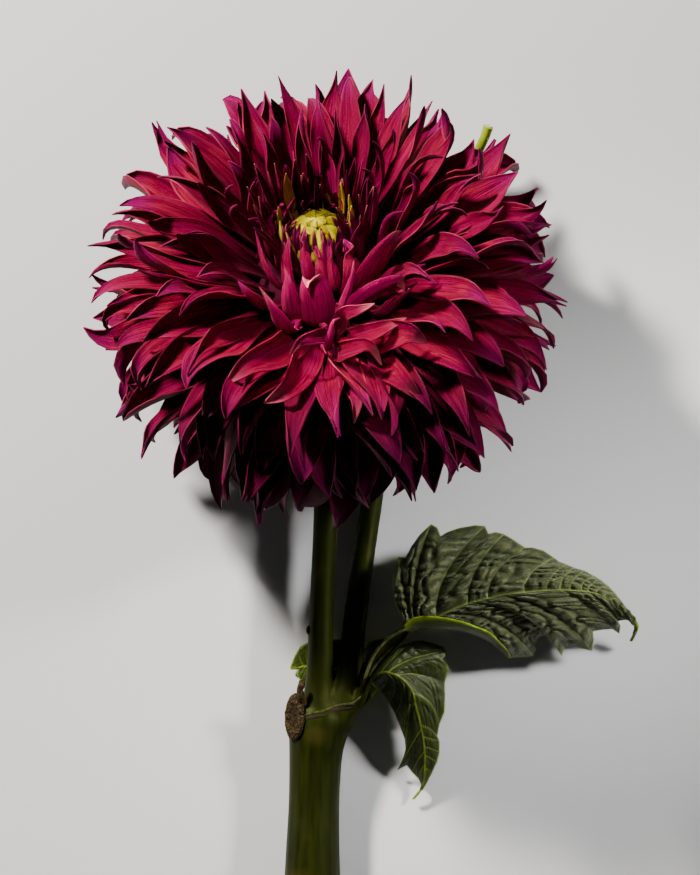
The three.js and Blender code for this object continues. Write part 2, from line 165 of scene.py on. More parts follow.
HEART = photo(326, 300, 58)
FACE = Vector((-0.08, 0.64, 0.77)).normalized()
FACE_RIGHT = (Vector((1, 0, 0)) - FACE * FACE.x).normalized()
FACE_UP = FACE.cross(FACE_RIGHT)
GOLDEN_ANGLE = math.radians(137.508)
RECEPTACLE_RADIUS = 21 * MM
RECEPTACLE_HEIGHT = 22 * MM
RECEPTACLE_CENTRE = 4 * MM
PETAL_STEPS = 20
SETTLING = 12 * MM
LOWEST_SKIN = 0.4 * MM
RIBS = 2.0
FULL_RIBS = 5.5 * MM
PETAL_THICKNESS = 0.4 * MM
# What a blade's shape or colour leaves alone unless its table gives it.
PLAIN_FIELDS = ("ripple", "fork", "keel", "recurve", "lean", "rank", "shade", "painted_highlight")
SHOOT_TOP = 8.5 * MM
SHOOT_REACH = 9 * MM
SHOOT_LINE = [photo(*p) for p in (
    (346, 712, 11), (350, 664, 12.4), (357, 606, 10.5), (369, 524, 6.4), (386, 420, 4.1),
    (412, 310, 3.9), (444, 210, 5.4), (468, 162, 11), (485, 135, 17))]


def jitter(i, channel):
    """A repeatable random number from -1 to 1 for piece number i."""
    wild = np.sin(i * 12.9898 + channel * 78.233) * 43758.5453
    return 2 * (wild - np.floor(wild)) - 1


def chance(i, channel):
    """A repeatable random number from 0 to 1 for piece number i."""
    return 0.5 + 0.5 * jitter(i, channel)


def column(values):
    """Values of one number a blade, as the column that a field along blades is made with."""
    return np.asarray(values)[:, None]


def smoothstep(low, high, value):
    x = np.clip((value - low) / (high - low), 0, 1)
    return x * x * (3 - 2 * x)


def profile(knots, values, at):
    """A smooth curve through a few values, flat where they peak."""
    knots, values = np.array(knots, float), np.array(values, float)
    slope = np.diff(values) / np.diff(knots)
    tangent = np.zeros(len(knots))
    tangent[0], tangent[-1] = slope[0], slope[-1]
    for k in range(1, len(knots) - 1):
        if slope[k - 1] * slope[k] > 0:
            tangent[k] = 2 * slope[k - 1] * slope[k] / (slope[k - 1] + slope[k])
    at = np.asarray(at, float)
    k = np.clip(np.searchsorted(knots, at) - 1, 0, len(knots) - 2)
    width = knots[k + 1] - knots[k]
    t = (at - knots[k]) / width
    return ((2 * t**3 - 3 * t**2 + 1) * values[k] + (t**3 - 2 * t**2 + t) * width * tangent[k]
            + (3 * t**2 - 2 * t**3) * values[k + 1] + (t**3 - t**2) * width * tangent[k + 1])


def tip_reach(angle):
    """How far a petal's tip is from the heart, by its angle from the bloom's axis."""
    degrees = np.degrees(angle)
    behind = np.clip(degrees - 90, 0, None) / 40
    return (89.5 - 68.5 * np.exp(-(degrees / 27) ** 1.2) - 5 * behind) * MM


def ground(points):
    """The height of what a petal can lie on: the surface, or the side shoot on it."""
    line = np.array([SHOOT_LINE[0]] + [
        a.lerp(b, t / 8) for a, b in zip(SHOOT_LINE, SHOOT_LINE[1:]) for t in range(1, 9)])
    gap = ((points[:, None, :2] - line[None, :, :2]) ** 2).sum(-1).min(1)
    return SHOOT_TOP * np.exp(-gap / SHOOT_REACH ** 2)


def unit(vectors):
    return vectors / np.linalg.norm(vectors, axis=-1, keepdims=True)


def twisted(normal, direction, turn):
    """The directions out of a blade's face and across it, turned about its midrib."""
    side = np.cross(normal, direction)
    return np.cos(turn) * normal + np.sin(turn) * side, np.cos(turn) * side - np.sin(turn) * normal


def grow_spines(table):
    """The midribs of a table of petals, with the directions out of their face and across them."""
    i, azimuth, angle, reach, root, reflex, hook, sway, twist, rest = (table[key] for key in (
        "numbers", "azimuth", "angle", "reach", "root", "reflex", "hook", "sway", "twist", "rest"))
    face, right, up = (np.array(v) for v in (FACE, FACE_RIGHT, FACE_UP))
    out = np.cos(azimuth)[:, None] * right + np.sin(azimuth)[:, None] * up
    root_radius = RECEPTACLE_RADIUS * np.sin(root)
    root_along = RECEPTACLE_CENTRE + RECEPTACLE_HEIGHT * np.cos(root)
    across = reach * np.sin(angle) - root_radius
    along = reach * np.cos(angle) - root_along
    length = np.hypot(across, along) * (reflex / 2) / np.sin(reflex / 2)
    start = np.arctan2(across, along) - reflex / 2
    point = np.array(HEART) + root_along[:, None] * face + root_radius[:, None] * out
    rows = []
    for k in range(PETAL_STEPS + 1):
        s = k / PETAL_STEPS
        bend = start + reflex * s + hook * smoothstep(0.72, 1.0, s)
        bend = bend + 0.12 * np.sin(2 * math.pi * (s + jitter(i, 11)))
        direction = np.cos(bend)[:, None] * face + np.sin(bend)[:, None] * out
        inner = np.sin(bend)[:, None] * face - np.cos(bend)[:, None] * out
        aside = np.cross(inner, direction)
        yaw = sway * smoothstep(0.2, 1.0, s)
        direction = np.cos(yaw)[:, None] * direction + np.sin(yaw)[:, None] * aside
        lowest = (ground(point) + rest - point[:, 2]) / SETTLING
        low = direction[:, 2] < lowest
        direction[low, 2] = np.minimum(lowest[low], 0.5)
        direction = unit(direction)
        normal = unit(inner - (inner * direction).sum(-1, keepdims=True) * direction)
        rows.append((point, *twisted(normal, direction, (twist * s ** 1.5)[:, None]), direction))
        point = point + direction * (length / PETAL_STEPS)[:, None]
    return [np.stack(parts, 1) for parts in zip(*rows)]


def midrib_object(name, spines, fields):
    """An object of one edge line per petal, with what its tree reads kept on the points."""
    count, rows = spines.shape[:2]
    lines = [(a * rows + k, a * rows + k + 1) for a in range(count) for k in range(rows - 1)]
    data = bpy.data.meshes.new(name)
    data.from_pydata(spines.reshape(-1, 3).tolist(), lines, [])
    for field, values in fields.items():
        kind, key = ("FLOAT_VECTOR", "vector") if values.ndim == 3 else ("FLOAT", "value")
        layer = data.attributes.new(field, kind, "POINT")
        layer.data.foreach_set(key, values.astype(np.float32).ravel())
    return added(name, data)


def sockets(tree, inputs):
    """Gives a geometry tree its named inputs and its output, and returns both end nodes."""
    tree.interface.new_socket("Geometry", in_out="INPUT", socket_type="NodeSocketGeometry")
    for name, kind, value in inputs:
        socket = tree.interface.new_socket(name, in_out="INPUT", socket_type=kind)
        if value is not None:
            socket.default_value = value
    tree.interface.new_socket("Geometry", in_out="OUTPUT", socket_type="NodeSocketGeometry")
    return tree.nodes.new("NodeGroupInput"), tree.nodes.new("NodeGroupOutput")


class Number:
    """A number in a node tree. Arithmetic on it adds the Math nodes that work it out."""

    def __init__(self, socket):
        self.socket = socket
        self.tree = socket.id_data

    def maths(self, operation, *others):
        return maths(self.tree, operation, self, *others)

    def __add__(self, other):
        return self.maths("ADD", other)

    def __sub__(self, other):
        return self.maths("SUBTRACT", other)

    def __rsub__(self, other):
        return maths(self.tree, "SUBTRACT", other, self)

    def __mul__(self, other):
        return self.maths("MULTIPLY", other)

    def __truediv__(self, other):
        return self.maths("DIVIDE", other)

    def __abs__(self):
        return self.maths("ABSOLUTE")

    def ramp(self, low, high):
        """0 below low, 1 above high, and smooth between."""
        return Number(put(self.tree, "ShaderNodeMapRange", self, low, high, 0.0, 1.0,
                          interpolation_type="SMOOTHSTEP").outputs[0])


def maths(tree, operation, *values):
    return Number(put(tree, "ShaderNodeMath", *values, operation=operation).outputs[0])


def stored(tree, name, kind="FLOAT"):
    """A value kept on the points: a number, or the socket of a vector."""
    node = put(tree, "GeometryNodeInputNamedAttribute", name, data_type=kind)
    socket = next(o for o in node.outputs if o.enabled and o.name == "Attribute")
    return Number(socket) if kind == "FLOAT" else socket


def moved(tree, steps):
    """The midrib's place, moved by a number along each of some stored directions."""
    shift = None
    for direction, distance in steps.items():
        step = put(tree, "ShaderNodeVectorMath", stored(tree, direction, "FLOAT_VECTOR"),
                   operation="SCALE")
        tree.links.new(distance.socket, step.inputs["Scale"])
        shift = step.outputs[0] if shift is None else put(
            tree, "ShaderNodeVectorMath", shift, step.outputs[0], operation="ADD").outputs[0]
    return put(tree, "ShaderNodeVectorMath", stored(tree, "midrib", "FLOAT_VECTOR"), shift,
               operation="ADD").outputs[0]


def kept_on(tree, curve, name, value):
    """Keeps a number on the points of a curve."""
    return put(tree, "GeometryNodeStoreNamedAttribute", curve, None, name, value,
               data_type="FLOAT", domain="POINT").outputs[0]


def delivered(tree, entry, leave, surface, target):
    """Ends a tree: moves the surface's points, realizes it and gives it its material."""
    surface = put(tree, "GeometryNodeSetPosition", surface, None, target).outputs[0]
    surface = put(tree, "GeometryNodeRealizeInstances", surface).outputs[0]
    surface = put(tree, "GeometryNodeSetMaterial", surface, None, entry.outputs["Material"])
    tree.links.new(surface.outputs[0], leave.inputs["Geometry"])
    return tree


def blade_tree():
    """Sweeps a line across each midrib, then cups, ribs, ripples and forks it."""
    tree = bpy.data.node_groups.new("Blades on their midribs", "GeometryNodeTree")
    entry, leave = sockets(tree, [
        ("Points Across", "NodeSocketInt", 11),
        ("Rib Depth", "NodeSocketFloat", 0.3 * MM),
        ("Ribs", "NodeSocketFloat", RIBS),
        ("Material", "NodeSocketMaterial", None)])
    midribs = put(tree, "GeometryNodeMeshToCurve", entry.outputs["Geometry"]).outputs[0]
    line = put(tree, "GeometryNodeCurvePrimitiveLine", (-1, 0, 0), (1, 0, 0)).outputs[0]
    row = put(tree, "GeometryNodeResampleCurve", line).outputs[0]
    tree.links.new(entry.outputs["Points Across"], row.node.inputs["Count"])
    place = put(tree, "GeometryNodeInputPosition").outputs[0]
    row = kept_on(tree, row, "abreast", put(tree, "ShaderNodeSeparateXYZ", place).outputs[0])
    sheet = put(tree, "GeometryNodeCurveToMesh", midribs, row).outputs[0]

    u, roll, lean, width, along, ripple, keel, recurve, fork = (stored(tree, name) for name in (
        "abreast", "roll", "lean", "half_width", "along", "ripple", "keel", "recurve", "fork"))
    ribs, rib_depth = (Number(entry.outputs[name]) for name in ("Ribs", "Rib Depth"))
    bent = roll * (u + lean)
    base = roll * lean
    size = width / roll
    reach = size * (bent.maths("SINE") - base.maths("SINE"))
    cup = size * (base.maths("COSINE") - bent.maths("COSINE"))
    middle = along * (1.0 - along) * 4.0
    wave = (u * (ribs * (2 * math.pi))).maths("COSINE")
    breadth = (width / FULL_RIBS).maths("MINIMUM", 1.0)
    ribbing = wave * breadth * (middle * rib_depth)
    swing = (along * 17.0 + u * 1.7).maths("SINE")
    side = abs(u)
    rise = cup + (ribbing + u * u * ripple * swing)
    rise = rise + (width * keel * side - width * recurve * side.maths("POWER", 4.0))
    lobes = (u * (2 * math.pi)).maths("COSINE") * -1.0
    target = moved(tree, {"across": reach, "adaxial": rise, "onward": lobes * fork})
    target = put(tree, "ShaderNodeVectorMath", target, (-1, -1, LOWEST_SKIN),
                 operation="MAXIMUM").outputs[0]
    return delivered(tree, entry, leave, sheet, target)


def set_inputs(modifier, **values):
    """Sets a geometry tree's named inputs by the identifiers of their sockets."""
    for item in modifier.node_group.interface.items_tree:
        key = item.name.replace(" ", "_").lower()
        if item.in_out == "INPUT" and key in values:
            modifier[item.identifier] = values[key]


def finished(thing, name, sharp=50):
    """Turns an object with its modifiers into a plain mesh object of the given name."""
    bpy.context.view_layer.update()
    graph = bpy.context.evaluated_depsgraph_get()
    data = bpy.data.meshes.new_from_object(thing.evaluated_get(graph), depsgraph=graph)
    bpy.data.objects.remove(thing)
    data.name = name
    data.shade_smooth()
    data.set_sharp_from_angle(angle=math.radians(sharp))
    return added(name, data)


def colour_at(factor, stops):
    """A colour ramp over a number: pairs of position and linear colour."""
    ramp = put(factor.tree, "ShaderNodeValToRGB", factor)
    elements = ramp.color_ramp.elements
    while len(elements) < len(stops):
        elements.new(0.5)
    for element, (position, colour) in zip(elements, stops):
        element.position = position
        element.color = (*colour, 1)
    return ramp.outputs[0]


def mixed(factor, first, second):
    """Two colours, each a value or a socket, mixed by a number."""
    node = factor.tree.nodes.new("ShaderNodeMix")
    node.data_type = "RGBA"
    factor.tree.links.new(factor.socket, node.inputs["Factor"])
    for socket, source in ((node.inputs[6], first), (node.inputs[7], second)):
        if isinstance(source, tuple):
            socket.default_value = (*source, 1)
        else:
            factor.tree.links.new(source, socket)
    return node.outputs[2]


def layered(body, *layers):
    """Lays colours over a first one, each by its own number."""
    for factor, colour in layers:
        body = mixed(factor, body, colour)
    return body


def attribute(tree, name):
    return Number(put(tree, "ShaderNodeAttribute", attribute_name=name).outputs["Fac"])


def object_place(tree):
    return put(tree, "ShaderNodeTexCoord").outputs["Object"]


def noise(tree, place, scale, detail, roughness=0.5):
    return Number(put(tree, "ShaderNodeTexNoise", place, scale, detail, roughness).outputs[0])


def fibre(tree, scales, *settings):
    """Noise along a blade: its scales across it, along it and from blade to blade."""
    parts = [attribute(tree, name) * scale
             for name, scale in zip(("abreast", "along", "tint"), scales)]
    return noise(tree, put(tree, "ShaderNodeCombineXYZ", *parts).outputs[0], *settings)


def petal_material():
    """Crimson velvet, magenta towards the crater and the tips, streaked along the petal."""
    material, tree = principled("petal_velvet")
    along, abreast, rank, tint, shade, painted_highlight = (attribute(tree, name) for name in (
        "along", "abreast", "rank", "tint", "shade", "painted_highlight"))
    streak = fibre(tree, (12.0, 1.8, 40.0), 1.6, 4.0, 0.6)
    cloud = fibre(tree, (1.2, 2.5, 70.0), 1.4, 2.0, 0.5)
    grain = noise(tree, object_place(tree), 2600.0, 2.0, 0.6)
    body = layered(
        # Darker with rank: partly the older petals' own colour, partly painted shade on the last ranks,
        # which lie under the bloom.
        colour_at(rank, [
            (0.0, (0.32, 0.0, 0.07)), (0.08, (0.17, 0.0, 0.034)), (0.35, (0.17, 0.0, 0.018)),
            (0.6, (0.135, 0.0, 0.013)), (0.85, (0.045, 0.0, 0.005)), (1.0, (0.02, 0.0, 0.003))]),
        (cloud.ramp(0.42, 0.68) * 0.8, (0.2, 0.0, 0.045)),
        # Painted sheen: a salmon highlight over the outer part of each petal, where the velvet would
        # catch the light.
        (along.ramp(0.35, 0.8) * (1.0 - cloud.ramp(0.36, 0.5)) * 0.38, (0.42, 0.018, 0.055)),
        (along.ramp(0.75, 1.0) * (tint * 0.5 + 0.4), (0.21, 0.0, 0.11)),
        # Painted highlight along the petal's rims.
        (abs(abreast).ramp(0.88, 1.0) * (tint * 0.55), (0.42, 0.05, 0.08)),
        (streak.ramp(0.4, 0.64) * 0.8, (0.022, 0.0, 0.002)),
        # Painted glints: fine speckles of highlight on the velvet. The same noise is real texture in the
        # relief.
        (grain.ramp(0.5, 0.72) * 0.4, (0.4, 0.015, 0.045)),
        # Painted shade towards each petal's base, deep between its neighbours.
        ((1.0 - along.ramp(0.1, 0.62)) * 0.88, (0.018, 0.0, 0.003)),
        # The youngest petals' bright magenta: partly their own colour, partly painted light, standing in
        # for light that shines through them.
        ((1.0 - rank.ramp(0.0, 0.1)) * (1.0 - streak.ramp(0.42, 0.62) * 0.75),
         (0.32, 0.0, 0.074)),
        # The shade attribute holds painted shade.
        (shade, (0.03, 0.0, 0.013)),
        # Painted highlight on the tips, where the light catches them.
        (painted_highlight, (0.7, 0.13, 0.15)))
    return finish(material, body, streak + grain * 0.25, 0.9, 0.5 * MM, rough=0.45,
                  specular=0.12, specular_tint=(1.0, 0.08, 0.16, 1),
                  sheen=0.035, sheen_rough=0.4, sheen_tint=(1.0, 0.25, 0.25, 1))


def blades(name, frames, fields, material, thickness, across=11, rib_depth=0.28 * MM):
    """Sweeps blades along rows of frames (midrib, adaxial, across, onward): a plain object."""
    shape = np.ones(frames[0].shape[:2])
    values = {**dict.fromkeys(PLAIN_FIELDS, 0), "tint": 0.5, **fields}
    fields = {key: shape * value for key, value in values.items()}
    fields.update(zip(("midrib", "adaxial", "across", "onward"), frames))
    thing = midrib_object(name + "_midribs", frames[0], fields)
    sweep = thing.modifiers.new("blades", "NODES")
    sweep.node_group = petal_blades
    set_inputs(sweep, points_across=across, rib_depth=rib_depth, ribs=RIBS, material=material)
    wall = thing.modifiers.new("thickness", "SOLIDIFY")
    wall.thickness = thickness
    wall.offset = 0
    return finished(thing, name)


def settle(piece, node):
    """Says what a finished piece rides on and hides the node that it stands for."""
    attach(piece, "root")
    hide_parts(node)


def petal_rows(table):
    """The frames and the shape along each petal of a table of arrays, one entry a petal."""
    numbers = table["numbers"]
    each = {key: column(values) for key, values in table.items()}
    s = np.linspace(0, 1, PETAL_STEPS + 1)[None, :]
    lance = profile((0, 0.2, 0.4, 0.52, 0.66, 0.8, 0.9, 0.96, 1),
                    (0.36, 0.52, 0.87, 1, 0.94, 0.68, 0.36, 0.16, 0.02), s)
    broad = profile((0, 0.2, 0.4, 0.58, 0.72, 0.85, 0.93, 0.97, 1),
                    (0.34, 0.5, 0.84, 1, 0.97, 0.78, 0.47, 0.22, 0.02), s)
    blunt = profile((0, 0.2, 0.4, 0.58, 0.72, 0.85, 0.94, 1),
                    (0.34, 0.5, 0.84, 1, 0.95, 0.78, 0.55, 0.34), s)
    share = column(chance(numbers, 15))
    outline = lance * (1 - share) + broad * share
    outline = np.where(each["fork"] > 0, blunt, outline)
    furl = profile((0, 0.3, 0.6, 0.8, 0.93, 1), (1.0, 0.6, 0.55, 1.0, 1.7, 2.2), s)
    return grow_spines(table), {
        "half_width": each["half_width"] * outline,
        "roll": np.clip(each["fold"] * furl, 0.08, 2.7),
        "lean": each["lean"],
        "along": s,
        "ripple": each["ripple"] * smoothstep(0.3, 0.7, s),
        "fork": each["fork"] * smoothstep(0.8, 1.0, s),
        "keel": each["keel"] * smoothstep(0.1, 0.4, s),
        "recurve": each["recurve"] * smoothstep(0.3, 0.6, s) * (1 - smoothstep(0.85, 1, s)),
        "rank": each["rank"],
        "tint": column(chance(numbers, 12)),
        # Painted shade: on the petals round the crater, and on the older petals below it, which the light
        # does not reach.
        "shade": 0.25 * (1 - smoothstep(0.06, 0.2, each["rank"])) + 0.7 * smoothstep(
            0.36, 0.5, each["rank"]) * smoothstep(0.45, 0.9, -np.sin(each["azimuth"])),
    }


def petal_lattice(numbers, rank, azimuth):
    """The table of petals whose places follow from their ranks, from crater to back."""
    angle = np.arccos(1 - 0.03 - 1.83 * rank ** 1.1) + math.radians(3.5) * jitter(numbers, 1)
    forked = (jitter(numbers, 8) > 0.62) & (rank > 0.3)
    tubular = jitter(numbers, 16) > 0.7
    return {
        "numbers": numbers,
        "azimuth": azimuth + math.radians(5) * jitter(numbers, 4),
        "angle": angle,
        "reach": tip_reach(angle) * (1 + 0.05 * jitter(numbers, 2)) * (
            1 - 0.07 * smoothstep(0.6, 1, -np.sin(azimuth)) * smoothstep(0.45, 0.7, rank)),
        "root": np.radians(40 + 80 * rank ** 0.8),
        "reflex": np.radians(-25 + 55 * smoothstep(0, 0.5, rank) + 45 * smoothstep(0.6, 1, rank)
                             + 12 * jitter(numbers, 3)),
        "rank": rank,
        "half_width": (3.3 + 4.3 * smoothstep(0.04, 0.4, rank)) * (
            1 + 0.22 * jitter(numbers, 17)) * MM,
        "hook": np.where(np.sin(azimuth) < -0.5, 1 - 0.75 * smoothstep(0.5, 0.75, rank), np.sign(
            jitter(numbers, 9))) * np.radians(20 + 70 * np.abs(jitter(numbers, 9))),
        "sway": np.radians(26) * jitter(numbers, 10),
        "twist": np.radians(48) * jitter(numbers, 5),
        "rest": (0.9 + 7 * chance(numbers, 6) ** 2) * MM,
        "fold": np.where(tubular | (rank < 0.1), 1.8, 0.95 + 0.4 * jitter(numbers, 7)),
        "lean": 0.4 * jitter(numbers, 13),
        "fork": np.where(forked, (2.6 + jitter(numbers, 18)) * MM, 0.0),
        "ripple": chance(numbers, 14) * 0.9 * MM,
        "keel": 0.35 * np.clip(jitter(numbers, 19), 0, 1),
        "recurve": 0.5 * np.clip(jitter(numbers, 20), 0, 1),
    }


petal_blades = blade_tree()
petal_velvet = petal_material()

# The petals of the part's source, and narrower ones that fill the gaps between them.
PETAL_COUNT = 225
FILLER_COUNT = 95
FILLER_FIRST = 500
FILLER_TURN = 0.43
FILLER_WIDTH = 0.8
main_numbers = np.arange(PETAL_COUNT)
main_petals = petal_lattice(main_numbers, (main_numbers + 0.5) / PETAL_COUNT,
                            main_numbers * GOLDEN_ANGLE)
filler_numbers = np.arange(FILLER_COUNT)
filler_petals = petal_lattice(filler_numbers + FILLER_FIRST, (filler_numbers + 0.5) / FILLER_COUNT,
                              (filler_numbers + FILLER_TURN) * GOLDEN_ANGLE)
filler_petals["half_width"] = filler_petals["half_width"] * FILLER_WIDTH
petal_table = {key: np.concatenate([main_petals[key], filler_petals[key]]) for key in main_petals}
# The youngest ones below the crater are given one by one in the next section.
below = -np.sin(petal_table["azimuth"])
by_rule = petal_table["rank"] > np.where(below < 0.4, 0, np.where(below < 0.8, 0.12, 0.33))
for ring, (low, high) in {"inner": (0, 0.25), "middle": (0.25, 0.62), "outer": (0.62, 1)}.items():
    chosen = by_rule & (petal_table["rank"] >= low) & (petal_table["rank"] < high)
    frames, fields = petal_rows({key: values[chosen] for key, values in petal_table.items()})
    settle(blades(f"petals_{ring}", frames, fields, petal_velvet, PETAL_THICKNESS),
           "bloom_petals")


# ------------------------------------------------------------------ crater
# The youngest florets round the unopened button: narrow spouts, darkened with painted shade,
# whose tips lean over it, and behind it taller ones. Below it broad young petals show their magenta
# backs, because they still curve inwards; that magenta is partly their own colour and partly
# painted light. All grow from the top of the receptacle.

def from_axis(azimuth):
    """The direction away from the bloom's axis, at an azimuth in radians."""
    return FACE_RIGHT * math.cos(azimuth) + FACE_UP * math.sin(azimuth)


def bloom_point(radius, azimuth, along):
    """A point of the bloom: distance from its axis, azimuth in radians, place on the axis."""
    return HEART + FACE * along + from_axis(azimuth) * radius


def through(points, count):
    """A smooth curve through points, as an array of places at even steps of its parameter.

    The first three columns are the place; any others, such as a width, follow along it.
    """
    points = np.array([tuple(p) for p in points], float)
    strides = np.linalg.norm(np.diff(points[:, :3], axis=0), axis=1)
    knots = np.concatenate([[0], np.cumsum(strides ** 0.5)])
    padded = np.vstack([2 * points[0] - points[1], points, 2 * points[-1] - points[-2]])
    at = np.linspace(0, knots[-1], count)
    k = np.clip(np.searchsorted(knots, at, side="right") - 1, 0, len(knots) - 2)
    t = ((at - knots[k]) / (knots[k + 1] - knots[k]))[:, None]
    a, b, c, d = (padded[k + n] for n in range(4))
    return 0.5 * (2 * b + (c - a) * t + (2 * a - 5 * b + 4 * c - d) * t**2
                  + (3 * b - a - 3 * c + d) * t**3)


def frames_along(lines, towards, turns):
    """Frames on given midribs. Each blade's inner face looks towards its own direction."""
    rows = []
    for line, aim, (first, last) in zip(lines, towards, turns):
        direction = unit(np.gradient(line, axis=0))
        aim = np.asarray(aim, float)
        normal = unit(aim - (direction @ aim)[:, None] * direction)
        turn = np.radians(first + (last - first) * np.linspace(0, 1, len(line)))[:, None]
        rows.append((line, *twisted(normal, direction, turn), direction))
    return [np.stack(parts) for parts in zip(*rows)]


def inward(azimuth):
    """Towards the bloom's axis from an azimuth, as a blade's inner face looks."""
    return FACE * 0.5 - from_axis(azimuth)


# Each young petal: its midrib from root to tip in the photograph's pixels and heights, half its
# width, how far it is rolled, which way its inner face turns at root and tip, its rank, whether
# that face looks up instead of inwards, and how much painted highlight its tip has.
YOUNG_PETALS = [
    ([(318, 300, 84), (319, 328, 97), (318, 315, 109), (316, 298, 118), (314, 286, 122), (311, 286, 125),
      (309, 292, 126)], 6.9, 0.95, (0, 0), 0.0, 0, 0.9),
    ([(304, 304, 84), (293, 320, 98), (289, 304, 110), (288, 287, 116), (286, 271, 118)], 4.6, 1.0,
      (0, 30), 0.0, 0, 0.1),
    ([(338, 304, 84), (340, 318, 98), (348, 300, 110), (353, 281, 118), (354, 265, 121)], 2.8, 2.3,
      (0, 0), 0.0, 0, 0.2),
    ([(342, 306, 84), (352, 316, 98), (368, 302, 110), (386, 291, 116), (398, 286, 117), (403, 293, 113)],
      6.2, 0.9, (0, 20), 0.0, 0, 0.6),
    ([(345, 290, 84), (362, 292, 96), (374, 274, 105), (386, 255, 111), (394, 242, 112), (400, 236, 110)],
      5.9, 0.8, (10, 30), 0.12, 0, 0.2),
    ([(342, 290, 84), (352, 294, 97), (356, 276, 104), (351, 258, 105), (344, 243, 103)], 5.2, 0.9,
      (0, -20), 0.13, 0, 0),
    ([(332, 290, 86), (337, 292, 98), (334, 270, 104), (330, 243, 101)], 3.0, 1.6, (0, 0), 0.1, 0, 0),
    ([(324, 288, 86), (325, 288, 98), (320, 268, 103), (316, 249, 101)], 3.0, 1.3, (0, 0), 0.14, 0, 0),
    ([(312, 286, 86), (309, 284, 97), (304, 258, 101), (306, 233, 99)], 3.0, 1.3, (0, 0), 0.16, 0, 0),
    ([(300, 285, 82), (289, 292, 94), (285, 266, 100), (290, 240, 101)], 3.4, 1.1, (0, 10), 0.18, 0, 0),
    ([(296, 290, 78), (278, 290, 92), (264, 268, 98), (257, 234, 99)], 3.3, 1.7, (0, 30), 0.08, 0, 0),
    ([(312, 312, 80), (286, 334, 98), (274, 316, 111), (262, 291, 117)], 5.6, 1.2, (0, 30), 0.0, 0, 0.4),
    ([(330, 306, 80), (343, 332, 102), (343, 320, 114), (337, 306, 118)], 2.9, 1.6, (0, 0), 0.0, 0, 0.3),
    ([(338, 316, 84), (338, 330, 104), (345, 317, 118), (358, 313, 121), (374, 307, 119)], 3.0, 0.5,
      (0, 0), 0.5, 1, 0.9),
    ([(330, 312, 80), (326, 352, 102), (331, 341, 116), (334, 326, 120), (340, 321, 119)], 2.9, 2.2,
      (0, 0), 0.0, 0, 0.1),
    ([(322, 318, 80), (326, 334, 108), (314, 338, 119), (301, 343, 121), (291, 357, 116)], 3.6, 1.2,
      (0, 40), 0.06, 1, 0.5),
    ([(342, 312, 80), (345, 340, 106), (362, 338, 117), (385, 330, 120), (405, 321, 117)], 4.2, 0.8,
      (0, 20), 0.4, 1, 0.5),
    ([(355, 312, 80), (372, 338, 106), (390, 337, 117), (408, 336, 120), (425, 345, 116)], 6.2, 0.6,
      (0, 0), 0.4, 1, 0.2),
    ([(335, 318, 80), (338, 352, 108), (350, 352, 120), (368, 349, 123), (381, 367, 117)], 4.0, 1.0,
      (0, 30), 0.4, 1, 0.6),
    ([(352, 305, 80), (382, 318, 97), (400, 302, 108), (416, 286, 110)], 4.4, 1.5, (0, 20), 0.2, 0, 0.2),
    ([(352, 298, 80), (384, 300, 96), (404, 280, 106), (424, 268, 106)], 4.2, 1.3, (0, 30), 0.2, 0, 0),
    ([(300, 300, 80), (268, 312, 94), (250, 300, 105), (240, 284, 106)], 4.4, 1.3, (0, -30), 0.2, 0, 0),
    ([(312, 318, 74), (300, 338, 92), (280, 354, 110), (252, 366, 120), (228, 386, 114)], 6.4, 0.7,
      (0, 0), 0.35, 1, 0.3),
    ([(316, 320, 74), (311, 346, 92), (302, 371, 109), (286, 392, 121), (266, 404, 117)], 6.4, 0.8,
      (0, 20), 0.35, 1, 0.4),
    ([(334, 322, 72), (340, 348, 88), (350, 376, 107), (359, 400, 122), (354, 424, 118)], 5.4, 1.1,
      (0, -40), 0.4, 1, 0.4),
    ([(345, 320, 74), (360, 346, 92), (380, 366, 109), (400, 382, 120), (420, 402, 115)], 6.4, 0.8,
      (0, 10), 0.4, 1, 0.3),
]

BLADE_STEPS = PETAL_STEPS + 1
along_blade = np.linspace(0, 1, BLADE_STEPS)[None, :]
midribs, widths, rolls, turns, ranks, faces_up, tip_highlights = zip(*YOUNG_PETALS)
lines = [through([photo(*p) for p in midrib], BLADE_STEPS) for midrib in midribs]
aims = []
for midrib, face_up in zip(midribs, faces_up):
    root = photo(*midrib[1]) - HEART
    looks_in = inward(math.atan2(root.dot(FACE_UP), root.dot(FACE_RIGHT)))
    aims.append(Vector((0, 0, 1)) if face_up else looks_in)
numbers = np.arange(len(YOUNG_PETALS))
young_outline = profile((0, 0.2, 0.45, 0.64, 0.8, 0.92, 1), (0.3, 0.7, 1, 0.9, 0.6, 0.3, 0.03),
                        along_blade)
lipped_outline = profile((0, 0.2, 0.45, 0.64, 0.8, 0.9, 1), (0.3, 0.7, 1, 0.92, 0.68, 0.42, 0.06),
                         along_blade)
settle(blades("petals_young", frames_along(lines, aims, turns), {
    "half_width": column(widths) * MM * np.where(column(numbers == 0), lipped_outline, young_outline),
    "roll": np.clip(column(rolls) * (0.8 + 0.5 * along_blade ** 3), 0.1, 2.8),
    "along": along_blade,
    "rank": column(ranks),
    "tint": column(chance(numbers, 12)),
    "painted_highlight": column(tip_highlights) * smoothstep(0.8, 0.97, along_blade),
}, petal_velvet, PETAL_THICKNESS), "bloom_petals")


